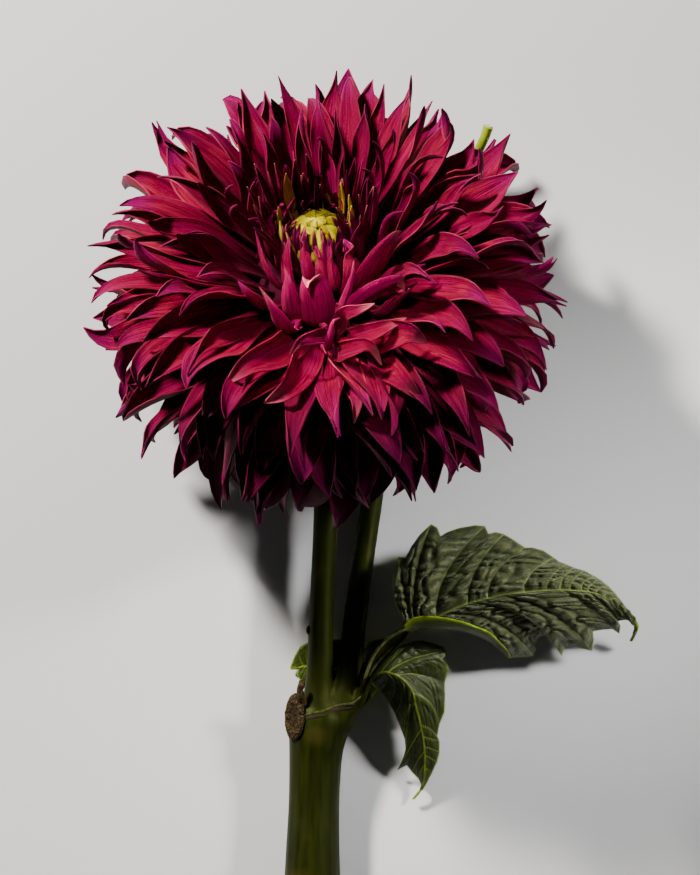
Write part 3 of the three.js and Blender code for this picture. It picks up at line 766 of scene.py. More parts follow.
def floret_frames(numbers, root, tips, start, end):
    """Florets set evenly from one azimuth to another, from a root to tips of (radius, along)."""
    (r0, a0), (r1, a1), (r2, a2) = (np.array(spot) * MM for spot in (root, *tips))
    lines, aims, turns = [], [], []
    for k, i in enumerate(numbers):
        azimuth = math.radians(start + (end - start) * (k + 0.5 + 0.3 * jitter(i, 1)) / len(numbers))
        lean = math.radians(14) * jitter(i, 2)
        grow = 1 + 0.12 * jitter(i, 3)
        lines.append(through([
            bloom_point(r0, azimuth, a0),
            bloom_point((r0 + r1) / 2 + 1.5 * MM, azimuth, (a0 + a1) / 2),
            bloom_point(r1, azimuth + lean / 2, a1 * grow),
            bloom_point(r2 * (1 + 0.3 * jitter(i, 4)), azimuth + lean, a2 * grow)], BLADE_STEPS))
        aims.append(inward(azimuth))
        turns.append((0, 40 * jitter(i, 5)))
    return frames_along(lines, aims, turns)


# Rings of florets: how many, their first number, roots and tips in millimetres from the axis and
# along it, the azimuths that they span, half width, roll and rank.
FLORET_RINGS = [
    (20, 10, (8.6, 28), ((10.8, 37), (5.9, 44.4)), (-175, 115), 1.9, 1.5, 0.24),
    (19, 40, (9.5, 26), ((11.6, 36), (8.8, 43)), (0, 360), 1.7, 2.0, 0.24),
    (20, 70, (11, 25), ((13.8, 37), (11.4, 46)), (10, 370), 1.8, 1.9, 0.1),
    (24, 100, (12.5, 24), ((16.2, 38), (15.4, 50)), (-20, 340), 2.0, 1.8, 0.14),
    (22, 130, (14, 23), ((19, 38), (20.5, 55)), (-30, 215), 2.4, 1.6, 0.1),
]
SHADED_RINGS = 3
floret_outline = profile((0, 0.3, 0.6, 0.85, 1), (0.5, 0.8, 1, 0.7, 0.05), along_blade)
for ring, (count, number, root, tips, span, width, roll, rank) in enumerate(FLORET_RINGS):
    numbers = np.arange(count) + number
    odds = {channel: column(jitter(numbers, channel)) for channel in range(6, 12)}
    settle(blades(f"florets_{ring}", floret_frames(numbers, root, tips, *span), {
        "half_width": width * MM * (1 + 0.2 * odds[6]) * floret_outline,
        "roll": roll * (1 + 0.2 * odds[7]),
        "along": along_blade,
        "rank": rank + 0.1 * odds[8],
        # Painted shade darkens the florets deep in the crater, the inner three rings most.
        "shade": (0.6 if ring < SHADED_RINGS else 0.28) + 0.3 * odds[10],
        # Painted highlight on some floret tips.
        "painted_highlight": (odds[11] > 0.2) * smoothstep(0.93, 0.98, along_blade),
        "tint": 0.5 + 0.5 * odds[9],
    }, petal_velvet, 0.3 * MM, across=7), "bloom_petals")


# ------------------------------------------------------------------ receptacle
# The solid heart that every petal grows from. It is hidden between their bases; its near-black
# red is painted shade, so that it shows only as a dark depth in the gaps.

def meshed(name, mesh, *materials):
    """Makes an object of a bmesh, and frees it."""
    data = bpy.data.meshes.new(name)
    mesh.to_mesh(data)
    mesh.free()
    for material in materials:
        data.materials.append(material)
    return added(name, data)


def turned(name, outline, sides, material):
    """A turned piece on the bloom's axis, from pairs of radius and place along the axis."""
    mesh = bmesh.new()
    rows = [[mesh.verts.new(bloom_point(radius * MM, 2 * math.pi * k / sides, along * MM))
             for k in range(sides)] for radius, along in outline]
    for near, far in zip(rows, rows[1:]):
        for k in range(sides):
            mesh.faces.new((near[k], near[(k + 1) % sides], far[(k + 1) % sides], far[k]))
    bmesh.ops.remove_doubles(mesh, verts=mesh.verts, dist=1e-7)
    bmesh.ops.recalc_face_normals(mesh, faces=mesh.faces)
    piece = meshed(name, mesh, material)
    piece.data.shade_smooth()
    return piece


receptacle_flesh, tree = principled("receptacle_flesh")
# Near-black red: painted shade for the depth between the petals' bases.
finish(receptacle_flesh, mixed(noise(tree, object_place(tree), 400.0, 3.0), (0.015, 0.0, 0.004),
                               (0.04, 0.0, 0.008)), rough=0.8, specular=0.05)
settle(turned("receptacle", [
    (0, 25), (9, 25), (15, 23.5), (21, 20), (27, 15), (32, 8.5), (35, 0), (35, -8),
    (31, -18), (24, -26), (14, -33), (0, -34)], 40, receptacle_flesh),
    "bloom_petals")


# ------------------------------------------------------------------ button
# The unopened middle: a dome of closed florets under overlapping yellow-green scales, pale and
# almost white on top where the light meets it, with long papery bracts standing round it.

def button_material():
    """Brown at a scale's foot and yellow-green to its tip, with darker edges and fibres."""
    material, tree = principled("button_scales")
    along, abreast, shade = (attribute(tree, name) for name in ("along", "abreast", "shade"))
    streak = fibre(tree, (7.0, 1.5, 30.0), 2.0, 3.0, 0.6)
    body = layered(
        colour_at(along, [
            (0.0, (0.06, 0.025, 0.0)), (0.35, (0.22, 0.13, 0.0)), (0.65, (0.3, 0.24, 0.0)),
            (0.9, (0.45, 0.38, 0.0)), (1.0, (0.6, 0.52, 0.0))]),
        (abs(abreast).ramp(0.6, 1.0) * (1.25 - along), (0.1, 0.06, 0.0)),
        (streak.ramp(0.42, 0.66) * 0.7, (0.12, 0.1, 0.0)),
        # Painted shade at the back of the dome.
        (shade, (0.05, 0.035, 0.0)))
    return finish(material, body, streak, 0.4, 0.2 * MM, rough=0.3, specular=0.2,
                  specular_tint=(1.0, 0.9, 0.1, 1), subsurface=0.15,
                  subsurface_radius=(0.002, 0.0015, 0.0005))


def bract_material():
    """Papery bracts: yellow-green to gold and tan, with fine lengthwise fibres."""
    material, tree = principled("bract_paper")
    streak = fibre(tree, (9.0, 1.5, 30.0), 2.0, 3.0, 0.6)
    body = colour_at(attribute(tree, "tint"), [
        (0.0, (0.36, 0.15, 0.03)), (0.4, (0.42, 0.23, 0.015)), (1.0, (0.48, 0.38, 0.008))])
    body = mixed(streak.ramp(0.4, 0.7) * 0.6, body, (0.1, 0.035, 0.005))
    return finish(material, body, streak, 0.5, 0.2 * MM, rough=0.55)


def scale_frames(spine, azimuths):
    """Blades that stand round the bloom's axis: a spine of (radius, along) at each azimuth."""
    lines = [through([bloom_point(r * MM, a, z * MM) for r, z in spine], BLADE_STEPS)
             for a in azimuths]
    return frames_along(lines, [inward(a) for a in azimuths], [(0, 0)] * len(azimuths))


button_yellow = button_material()
settle(turned("button_dome", [
    (0, 27), (8.4, 27.2), (9.3, 31), (9.2, 35), (8.4, 38.2), (6.6, 40.8), (4.2, 42.4), (2, 43.1),
    (0, 43.3)], 32, button_yellow), "bloom_centre")

# Rows of scales from the outside in: how many, first azimuth, spine, half width.
SCALE_ROWS = [
    (9, 0.0, ((9.4, 29), (10.4, 34), (9.6, 38.2), (6.6, 41.6)), 3.1),
    (8, 0.35, ((9.0, 34), (9.2, 37.6), (7.2, 41.0), (3.6, 43.3)), 3.0),
    (6, 0.1, ((7.8, 38.2), (6.4, 41.2), (3.6, 43.4), (0.1, 44.6)), 3.0),
]
scale_outline = profile((0, 0.35, 0.65, 0.88, 1), (0.8, 1, 0.85, 0.4, 0.04), along_blade)
for row, (count, first, spine, width) in enumerate(SCALE_ROWS):
    numbers = np.arange(count)
    azimuths = (numbers + first) * 2 * math.pi / count
    settle(blades(f"button_scales_{row}", scale_frames(spine, azimuths), {
        "half_width": width * MM * scale_outline,
        "roll": 0.7,
        "along": along_blade,
        # Painted shade on the scales at the back of the dome, at the top of the picture.
        "shade": 0.85 * smoothstep(-0.1, 0.8, column(np.sin(azimuths))),
        "tint": column(chance(numbers + 10 * row, 21)),
    }, button_yellow, 0.5 * MM, across=9, rib_depth=0.12 * MM), "bloom_centre")

# Standing bracts: azimuth in degrees, extra length, half width and tint (0 tan, 1 yellow).
BRACTS = [(200, 3, 2.4, 0.9), (217, 1, 3.8, 0.45), (136, 13, 2.3, 0.1), (43, 7, 2.3, 1.0),
          (8, 2, 2.5, 1.0), (72, -2, 2.5, 0.6), (243, -5, 2.7, 0.3), (268, -4, 2.9, 0.55),
          (290, -4, 2.9, 0.5), (20, 5, 2.2, 0.8), (170, 3, 1.8, 0.5)]
BRACT_SPINE = ((9, 29.5), (12.2, 33.5), (13.8, 40), (13.2, 46))
azimuths, extras, widths, tints = zip(*BRACTS)
azimuths = [math.radians(azimuth) for azimuth in azimuths]
lines = [through([bloom_point(r * MM, azimuth, (z + extra * k / 3) * MM)
                  for k, (r, z) in enumerate(BRACT_SPINE)], BLADE_STEPS)
         for azimuth, extra in zip(azimuths, extras)]
settle(blades("button_bracts", frames_along(
    lines, [inward(azimuth) for azimuth in azimuths], [(0, 25)] * len(BRACTS)), {
        "half_width": column(widths) * MM * floret_outline,
        "roll": 1.1,
        "along": along_blade,
        "tint": column(tints),
    }, bract_material(), 0.4 * MM, across=7), "bloom_centre")


# ------------------------------------------------------------------ calyx
# The green cup at the back of the bloom, which the stalk runs into, and its fleshy bracts that
# spread over the lowest petals. Both are one living tissue with the stalk.

def green_material(name, dark, light, grain):
    """Living green skin with fine lengthwise streaks, on pieces that run along Y."""
    material, tree = principled(name)
    place = object_place(tree)
    stretched = put(tree, "ShaderNodeMapping", place, None, None, (grain, grain * 0.06, grain))
    streak = noise(tree, stretched.outputs[0], 1.0, 4.0, 0.6)
    patch = noise(tree, place, 60.0, 2.0)
    body = mixed(streak.ramp(0.3, 0.7), dark, light)
    body = mixed(patch.ramp(0.55, 0.75) * 0.35, body, (0.05, 0.035, 0.008))
    return finish(material, body, streak, 0.35, 0.25 * MM, rough=0.5, specular=0.1,
                  specular_tint=(0.9, 1.0, 0.3, 1))


calyx_green = green_material("calyx_skin", (0.05, 0.075, 0.012), (0.11, 0.16, 0.03), 900.0)
settle(turned("calyx_cup", [
    (0, -45.2), (5.4, -45.2), (7.2, -44.6), (10.6, -42.4), (13.6, -39.2), (15, -36), (15, -34),
    (0, -34)], 40, calyx_green), "calyx")
# Rows of bracts: how many, spine, half width.
CALYX_ROWS = [(8, ((11, -39.4), (18, -36.8), (25, -32.8), (32.4, -26.8)), 5.0),
              (7, ((9, -37.4), (16, -35.0), (23, -31.6), (29, -27.4)), 4.6)]
for row, (count, spine, width) in enumerate(CALYX_ROWS):
    numbers = np.arange(count)
    azimuths = (numbers + 0.3 * jitter(numbers, 9) + 0.5 * row) * 2 * math.pi / count
    settle(blades(f"calyx_bracts_{row}", scale_frames(spine, azimuths), {
        "half_width": width * MM * profile((0, 0.35, 0.7, 1), (0.9, 1, 0.7, 0.05), along_blade),
        "roll": 0.5,
        "along": along_blade,
    }, calyx_green, 0.9 * MM, across=9, rib_depth=0.15 * MM), "calyx")


# ------------------------------------------------------------------ stem
# The cut main stem with its swollen node, and the two stalks that fork from it: the flower's,
# which rises to the calyx, and a side shoot, which lies under the bloom and shows its trimmed
# lime tip. All is one grown piece, and a corky leaf scar, a ridge and a dark brown band beside
# it mark its node.

FLUTES = 14.0
FLUTE_DEPTH = 0.012


def stalk_tree():
    """Sweeps a ring along each path, with its own width and depth and fine flutes."""
    tree = bpy.data.node_groups.new("Stalks on their paths", "GeometryNodeTree")
    entry, leave = sockets(tree, [
        ("Sides", "NodeSocketInt", 48),
        ("Flutes", "NodeSocketFloat", FLUTES),
        ("Flute Depth", "NodeSocketFloat", FLUTE_DEPTH),
        ("Material", "NodeSocketMaterial", None)])
    paths = put(tree, "GeometryNodeMeshToCurve", entry.outputs["Geometry"]).outputs[0]
    ring = put(tree, "GeometryNodeCurvePrimitiveCircle").outputs[0]
    tree.links.new(entry.outputs["Sides"], ring.node.inputs["Resolution"])
    axes = put(tree, "ShaderNodeSeparateXYZ", put(tree, "GeometryNodeInputPosition").outputs[0])
    ring = kept_on(tree, ring, "turn", maths(tree, "ARCTAN2", axes.outputs[1], axes.outputs[0]))
    tube = put(tree, "GeometryNodeCurveToMesh", paths, ring).outputs[0]
    tree.links.new(put(tree, "FunctionNodeInputBool", boolean=True).outputs[0],
                   tube.node.inputs["Fill Caps"])
    turn, width, depth = (stored(tree, name) for name in ("turn", "width", "depth"))
    flutes, flute_depth = (Number(entry.outputs[name]) for name in ("Flutes", "Flute Depth"))
    flute = flute_depth * (turn * flutes).maths("COSINE") + 1.0
    target = moved(tree, {"across": turn.maths("COSINE") * width * flute,
                          "adaxial": turn.maths("SINE") * depth * flute})
    return delivered(tree, entry, leave, tube, target)


def stalk(name, stations, rings, material, sides=48):
    """A round stalk through stations.

    Each station is a place, or the three numbers that photo() takes for one. Then come the
    stalk's width there, and its depth where that differs, both in millimetres.
    """
    stations = [s if isinstance(s[0], Vector) else (photo(*s[:3]), *s[3:]) for s in stations]
    table = through([(*s[0], s[1], s[-1]) for s in stations], rings)
    path, size = table[:, :3], table[:, 3:] * MM
    direction = unit(np.gradient(path, axis=0))
    side = unit(np.stack([direction[:, 1], -direction[:, 0], 0 * direction[:, 0]], 1))
    fields = {"midrib": path[None], "across": side[None],
              "adaxial": np.cross(side, direction)[None],
              "width": size[None, :, 0], "depth": size[None, :, 1]}
    thing = midrib_object(name + "_path", path[None], fields)
    sweep = thing.modifiers.new("stalk", "NODES")
    sweep.node_group = stalk_sweep
    set_inputs(sweep, sides=sides, flutes=FLUTES, flute_depth=FLUTE_DEPTH, material=material)
    return finished(thing, name)


SOURCE_SIDES = 12
LYING_GAP = 0.15


def lying(depth):
    """The height of a lying stem's axis, as the source's stem lies on one of its flat sides."""
    return depth * math.cos(math.pi / SOURCE_SIDES) + LYING_GAP


def neck(along):
    return HEART + FACE * along * MM


def joined(things, name):
    """Makes one mesh object of several, and removes them."""
    mesh = bmesh.new()
    for thing in things:
        mesh.from_mesh(thing.data)
    made = meshed(name, mesh, *things[0].data.materials)
    for thing in things:
        bpy.data.objects.remove(thing)
    return made


stalk_sweep = stalk_tree()
# Near-black green: partly the stalks' own dark olive, partly painted shade.
stem_skin = green_material("stem_skin", (0.003, 0.0045, 0.0003), (0.011, 0.014, 0.001), 420.0)
stem = joined([
    stalk("main_stem", [
        (311.5, 930, lying(10.6), 10.8, 10.6), (312, 870, lying(10.2), 10.0, 10.2),
        (313.5, 810, lying(9.4), 9.3, 9.4), (315, 765, lying(9.4), 9.6, 9.4),
        (317, 740, lying(10.0), 10.5, 10.0), (320, 720, lying(10.2), 11.6, 9.8),
        (322, 708, lying(10.2), 9.4, 7.6), (323, 701, lying(10.2), 5.5, 4.6)], 80, stem_skin),
    stalk("flower_stalk", [
        (316, 728, 11.5, 8.6, 8.4), (318, 708, 12, 6.6), (319, 688, 12.5, 5.3),
        (320, 665, 13, 4.8), (320.5, 630, 13.2, 4.6), (322, 590, 13.4, 4.4), (325, 530, 13.4, 4.5),
        (327, 456, 14, 4.6), (329, 424, 15.2, 4.7), (neck(-53), 4.9), (neck(-45.35), 5.6)],
        120, stem_skin),
    stalk("side_shoot", [
        (329, 752, 9.5, 4, 4.5), (333, 738, 10, 4.7, 5.8), (338, 722, 10.8, 6, 7),
        (344, 703, 11.5, 6), (348, 682, 12, 4.6), (351.5, 655, 12.4, 4.35), (357, 606, 10.5, 4.3),
        (369, 524, 6.4, 3.9), (386, 420, 4.1, 3.7), (412, 310, 3.9, 3.4), (444, 210, 5.4, 2.9),
        (468, 164, 11, 2.2), (477, 152, 14, 1.9)], 140, stem_skin),
    stalk("petiole_base", [
        (325, 752, 9.5, 6, 5.6), (338, 727, 11.5, 4.9), (350, 712, 13.6, 3.5),
        (360, 700, 15.6, 2.5), (365, 690, 17.4, 1.9)], 40, stem_skin),
], "stem_body")
fuse = stem.modifiers.new("fuse", "REMESH")
fuse.mode = "VOXEL"
fuse.voxel_size = 0.6 * MM
ease = stem.modifiers.new("ease", "SMOOTH")
ease.factor = 0.5
ease.iterations = 10
stem = finished(stem, "stem_body", sharp=80)
settle(stem, "stem")
stem_shape = BVHTree.FromObject(stem, bpy.context.evaluated_depsgraph_get())


def on_stem(px, py, above=0.0):
    """The place on top of the stem at a point of the photograph, raised by some millimetres."""
    hit = stem_shape.ray_cast(photo(px, py, 200), Vector((0, 0, -1)))[0]
    return hit + Vector((0, 0, above * MM))


def plain_material(name, colours, scale, roughness, depth):
    """A dry or waxy skin: two colours mottled by noise of the given scale, and its relief."""
    material, tree = principled(name)
    mottle = noise(tree, object_place(tree), scale, 4.0, 0.65)
    return finish(material, mixed(mottle.ramp(0.38, 0.62), *colours), mottle, 0.8, depth,
                  rough=roughness, specular=0.12)


def cells(tree, place, scale, **settings):
    return Number(put(tree, "ShaderNodeTexVoronoi", place, scale, **settings).outputs[0])


def scar_material():
    """Dark cork with a ring of pale dots where the leaf's strands were."""
    material, tree = principled("scar_cork")
    place = object_place(tree)
    grain = noise(tree, place, 900.0, 5.0, 0.7)
    dots = cells(tree, place, 1050.0)
    body = mixed(grain.ramp(0.38, 0.62), (0.004, 0.0018, 0.0004), (0.034, 0.018, 0.004))
    dot = (1.0 - dots.ramp(0.18, 0.42)) * attribute(tree, "rim")
    return finish(material, mixed(dot, body, (0.085, 0.056, 0.014)), grain - dots * 0.8, 1.0,
                  0.6 * MM, rough=0.7, specular=0.12)


def lump(name, place, facing, tall, wide, thick, hollow, material):
    """A flattened round lump with its axis along facing; hollow sinks its middle."""
    facing = Vector(facing).normalized()
    upright = (Vector((0, 1, 0)) - facing * facing.y).normalized()
    aside = upright.cross(facing)
    mesh = bmesh.new()
    bmesh.ops.create_icosphere(mesh, subdivisions=5, radius=1)
    rim = mesh.verts.layers.float.new("rim")
    for vertex in mesh.verts:
        x, y, z = vertex.co
        radius = math.hypot(x, y)
        rough = 0.07 * math.sin(9 * x + 4 * y) * math.sin(11 * y - 3 * x) + 0.05 * math.sin(
            23 * x) * math.sin(19 * y + 5 * z)
        sunk = hollow * (1 - smoothstep(0.3, 0.8, radius)) if z > 0 else 0
        vertex[rim] = float(smoothstep(0.45, 0.7, radius))
        vertex.co = (place + aside * x * (wide + rough) * MM + upright * y * (tall + rough) * MM
                     + facing * (z * (thick + 4 * rough) - sunk) * MM)
    piece = meshed(name, mesh, material)
    piece.data.shade_smooth()
    return piece


dry_brown = plain_material("dry_brown", ((0.01, 0.0055, 0.0014), (0.042, 0.024, 0.007)), 700.0, 0.7,
                           0.3 * MM)
lime = plain_material("lime_skin", ((0.15, 0.2, 0.004), (0.24, 0.3, 0.012)), 160.0, 0.4, 0.1 * MM)
pith = plain_material("cut_pith", ((0.3, 0.3, 0.14), (0.42, 0.42, 0.24)), 500.0, 0.8, 0.2 * MM)
ridge_skin = plain_material("ridge_skin", ((0.008, 0.01, 0.001), (0.042, 0.044, 0.006)), 420.0, 0.6,
                            0.2 * MM)
bruise_skin = plain_material("bruise_skin", ((0.004, 0.0022, 0.0003), (0.014, 0.0075, 0.0008)), 500.0,
                             0.7, 0.2 * MM)
for piece in (
        lump("leaf_scar", photo(294, 719.5, 16.2), (-0.72, 0.06, 0.69), 8.7, 4.9, 1.7, 1.1,
             scar_material()),
        stalk("dry_stub", [
            (302, 706, 17, 1.7), (300.5, 698, 19.4, 1.5), (299.6, 692, 20.4, 1.2),
            (301, 687, 20.8, 1.3), (300.2, 682, 21, 0.6)], 24, dry_brown, 20),
        lump("stalk_bump", photo(308.6, 632, 14.4), (-0.7, 0, 0.7), 1.7, 1.0, 0.9, 0, dry_brown),
        stalk("node_ridge", [(on_stem(px, py, -0.12), size) for px, py, size in (
            (300, 720, 0.3), (303.4, 718.5, 0.5), (312, 715.8, 0.42), (322.4, 713.7, 0.5),
            (334.2, 709, 0.45), (344, 707, 0.6), (353.2, 706, 0.6), (361, 699, 0.3))], 80,
            ridge_skin, 16),
        # A dark brown band beside the ridge.
        stalk("node_bruise", [(on_stem(px, py, -0.5), size, 0.62) for px, py, size in (
            (299, 724, 0.5), (304, 722.4, 1.3), (313, 720.4, 0.9), (323, 718, 0.6),
            (334.5, 714.5, 1.6), (344, 711.5, 1.2), (353, 709.5, 0.7), (359, 703.5, 0.3))], 80,
            bruise_skin, 24),
        stalk("shoot_tip", [
            (475, 154.5, 13.2, 1.7), (480, 147, 15, 1.75), (485.5, 135.5, 17.6, 1.75),
            (489.5, 124, 19.4, 1.9)], 40, lime, 28),
        stalk("shoot_cut", [(489.3, 124.5, 19.3, 1.2), (489.7, 123.2, 19.55, 1.2)], 4, pith, 28),
        stalk("stem_cut", [
            (311.5, 929.6, lying(10.6), 7.5), (311.5, 930.6, lying(10.6), 7.4)], 4, pith)):
    settle(piece, "stem")


# ------------------------------------------------------------------ leaf stalk
# The petiole out of the node and the channelled rachis to the large leaflet: a green gutter
# with two pale raised rims, soft living tissue grown from the stem.

PETIOLE = [
    (350, 716, 12.6, 2.6), (357, 706, 14.4, 2.2), (363, 694, 16.8, 1.9), (369, 680, 19.5, 1.7),
    (378, 662, 22.5, 1.7), (392, 645, 25.5, 1.7), (408, 631, 28, 1.3)]
GUTTER_START = 2
GUTTER_ABOVE = Vector((0, 0, 1.3 * MM))
settle(stalk("leaf_stalk", PETIOLE, 60, stem_skin, 24), "petiole")
gutter = through([photo(*p[:3]) + GUTTER_ABOVE for p in PETIOLE[GUTTER_START:]], BLADE_STEPS)
settle(blades("leaf_rachis", frames_along([gutter], [(0, 0, 1)], [(0, 0)]), {
    "half_width": 2.9 * MM * profile((0, 0.3, 0.6, 0.85, 1), (0.45, 0.7, 1, 1, 0.6), along_blade),
    "roll": 1.1,
    "along": along_blade,
}, stem_skin, 0.9 * MM, rib_depth=0), "petiole")
rim_skin = plain_material("rim_skin", ((0.035, 0.045, 0.008), (0.12, 0.125, 0.04)), 300.0, 0.5,
                          0.1 * MM)
for side, rim in {"left": ((364.5, 683, 20), (366.4, 676, 22), (374.5, 656, 25.6),
                           (387, 641, 28.3), (400.6, 632.4, 29.6), (406, 630, 30)),
                  "right": ((369, 681, 20), (370.8, 674.7, 22), (380.7, 661, 24.8),
                            (393, 649.5, 27), (406.8, 638, 28.4), (409, 634, 29))}.items():
    settle(stalk(f"rachis_rim_{side}", [(*p, 0.55) for p in rim], 60, rim_skin, 16),
           "petiole")


# ------------------------------------------------------------------ leaflets
# Three toothed leaflets of thin, quilted leaf tissue on the rachis, with fine hairs on their
# edges and pale margins on the large one. Their side veins are sunk in the dark upper face and
# stand out of the paler under face, which shows where an edge rolls.

def leaf_material(name, blade, vein, sheen, relief_depth):
    """Leaf skin: the attributes vein and outward give the side veins and the net between."""
    material, tree = principled(name)
    order, out, midvein, cushion = (attribute(tree, name) for name in (
        "vein", "outward", "midvein", "cushion"))
    place = object_place(tree)
    spot = put(tree, "ShaderNodeCombineXYZ", order * 2.3, out * 7.0 + noise(tree, place, 260.0, 2.0),
               0.0).outputs[0]
    net = cells(tree, spot, 1.0, feature="DISTANCE_TO_EDGE")
    fine = cells(tree, place, 760.0, feature="DISTANCE_TO_EDGE")
    mottle = noise(tree, place, 130.0, 4.0, 0.6)
    # The cushion attribute paints shade into the grooves between cushions and a highlight on their tops.
    body = layered(
        mixed(cushion.ramp(0.1, 0.9) * 0.55 + mottle.ramp(0.35, 0.7) * 0.4, *blade),
        ((1.0 - net.ramp(0.0, 0.05)) * 0.12, vein),
        (midvein, vein))
    relief = net.ramp(0.0, 0.3) * 0.75 + fine.ramp(0.0, 0.3) * 0.22
    return finish(material, body, relief, 0.9, relief_depth, rough=0.5,
                  specular=0.3, specular_tint=(0.95, 1.0, 0.65, 1),
                  sheen=sheen, sheen_rough=0.5, sheen_tint=(0.9, 1.0, 0.6, 1))


HAIR_RADIUS = 0.06 * MM
HAIR_LENGTH = 0.75 * MM
LEAF_OUT = 56
LEAF_ALONG = 260
FOLD_START = 0.62
LEAF_THICKNESS = 0.45 * MM
# Added to the vein numbers of a leaflet's lower half, so that the net differs from the upper's.
OTHER_HALF = 50
# Hairs stand on the edge at these parts of each step, away from this row of the blade.
HAIR_SPOTS = (0, 0.33, 0.67)
HAIR_ROW = -9


def sampled(table, at):
    """The rows of a table at fractional row numbers, straight between rows."""
    table = np.array(table, float)
    return np.stack([np.interp(at, np.arange(len(table)), values) for values in table.T], 1)


def on_photo(points):
    return np.array([tuple(photo(*p)) for p in points])


def quilted(places, vein, flat, span, folded, quilt):
    """Swells a half's places between their veins, except where folded, and returns its fields."""
    phase = vein[:, None] + 0 * flat
    # The distance to the nearest side vein, in metres across it.
    stride = np.linalg.norm(np.gradient(places, axis=0), axis=2) / np.maximum(
        np.abs(np.gradient(phase, axis=0)), 1e-6)
    gap = np.abs(phase - np.round(phase)) * stride
    envelope = np.clip(flat * 7, 0, 1) * np.clip((1 - flat) * 8, 0, 1)
    envelope = envelope * (1 - folded[:, None] * smoothstep(0.3, 0.6, flat))
    # Cross veins cut each strip into cushions, unevenly, like rungs of a bent ladder.
    strip = np.floor(phase)
    across_strip = phase - strip
    pitch = (3.9 + 0.8 * np.sin(1.7 * strip)) * MM
    rung = (flat * span / pitch + 1.7 * np.sin(2.1 * strip) + 0.3 * np.sin(
        2 * flat * span / pitch + strip) + 0.5 * across_strip * np.cos(strip * 1.3))
    broad_strip = smoothstep(5 * MM, 8 * MM, stride)
    swell = np.sin(math.pi * across_strip) ** 0.7 * (1 - 0.55 * broad_strip * np.exp(
        -((across_strip - 0.5 - 0.12 * np.sin(rung * 1.9)) / 0.11) ** 2))
    cushion = np.abs(np.sin(math.pi * rung)) ** 0.8
    width = np.clip(stride / (6 * MM), 0.5, 1)
    places[..., 2] += quilt * envelope * width * swell * (0.4 + 0.6 * cushion)
    vein_width = (0.22 * (1 - flat) + 0.1) * MM
    midvein = (np.exp(-(flat * span / (0.5 * MM)) ** 2) + 0.7 * np.exp(-(gap / vein_width) ** 2)
               + np.exp(-((1 - flat) * span / (0.35 * MM)) ** 2) * 0.6)
    # The last field, the cushions' height, is also painted onto the leaf as shade and highlight.
    return phase, flat + 0 * phase, np.clip(midvein, 0, 1), swell * cushion * envelope


def leaf_half(rib, rows, lean, arch, quilt, folds):
    """One half of a leaflet, from its midrib out to its toothed edge: places and vein fields."""
    rib = on_photo(rib)
    at, px, py, height, vein = sampled(rows, np.linspace(0, len(rows) - 1, LEAF_ALONG)).T
    fine = through(rib, (len(rib) - 1) * 20 + 1)
    # through() runs by its own parameter, so stations are found again on the curve.
    nearest = [np.argmin(np.linalg.norm(fine - p, axis=1)) for p in rib]
    where = np.interp(at, np.arange(len(rib)), nearest)
    middle = sampled(fine, where)
    tangent = sampled(unit(np.gradient(fine, axis=0)), where)
    toothed = on_photo(zip(px, py, height))
    # The blade follows a smoothed edge, and only its outer part the teeth.
    window = np.hanning(27)[1:-1]
    padded = np.pad(toothed, ((12, 12), (0, 0)), mode="reflect", reflect_type="odd")
    edge = np.stack([np.convolve(values, window / window.sum(), "valid") for values in padded.T], 1)
    outwards = edge - middle
    span = np.linalg.norm(outwards, axis=1)[:, None]
    across = unit(outwards - (outwards * tangent).sum(1)[:, None] * tangent + 1e-9)
    bend = middle + span * 0.5 * (math.cos(lean) * tangent + math.sin(lean) * across)

    def bowed(v):
        return ((1 - v) ** 2 * middle[:, None] + 2 * v * (1 - v) * bend[:, None]
                + v ** 2 * edge[:, None])

    v = np.linspace(0, 1, LEAF_OUT)[None, :, None]
    flat = v[..., 0]
    places = bowed(v)
    places[..., 2] += arch * 4 * flat * (1 - flat) * span
    places += (toothed - edge)[:, None] * smoothstep(0.55, 1, v)
    folded = np.zeros(LEAF_ALONG, bool)
    if folds:
        fold_at, *fold_places = np.array(folds, float).T
        folded = (at >= fold_at[0]) & (at <= fold_at[-1])
        margin = on_photo(zip(*(np.interp(at, fold_at, values) for values in fold_places)))
        turn = np.clip((flat - FOLD_START) / (1 - FOLD_START), 0, 1) * math.pi / 2
        over = edge[:, None] + (margin - edge)[:, None] * (1 - np.cos(turn))[..., None]
        over[..., 2] = edge[:, None, 2] + (margin - edge)[:, None, 2] * np.sin(turn)
        inner = bowed(np.clip(v / FOLD_START, 0, 1))
        rolled = np.where(v < FOLD_START, inner, over)
        places = np.where(folded[:, None, None], rolled, places)
    return places, *quilted(places, vein, flat, span, folded, quilt)


def hairs(name, roots, outward, length, material):
    """Fine hairs, each a closed three-sided spike of the given length from its root."""
    points, faces = [], []
    for i, (root, out) in enumerate(zip(roots, unit(outward))):
        lean = 0.35 * np.array([jitter(i, 31), jitter(i, 32), 0.6 + jitter(i, 33)])
        tip = root + unit(out + lean) * length * (0.7 + 0.4 * jitter(i, 34))
        first = len(points)
        points += [root + HAIR_RADIUS * np.array([math.cos(a), math.sin(a), 0])
                   for a in (0, 2.1, 4.2)] + [tip]
        faces += [(first + a, first + b, first + c)
                  for a, b, c in ((0, 2, 1), (0, 1, 3), (1, 2, 3), (2, 0, 3))]
    data = bpy.data.meshes.new(name)
    data.from_pydata([tuple(p) for p in points], [], faces)
    data.materials.append(material)
    return added(name, data)


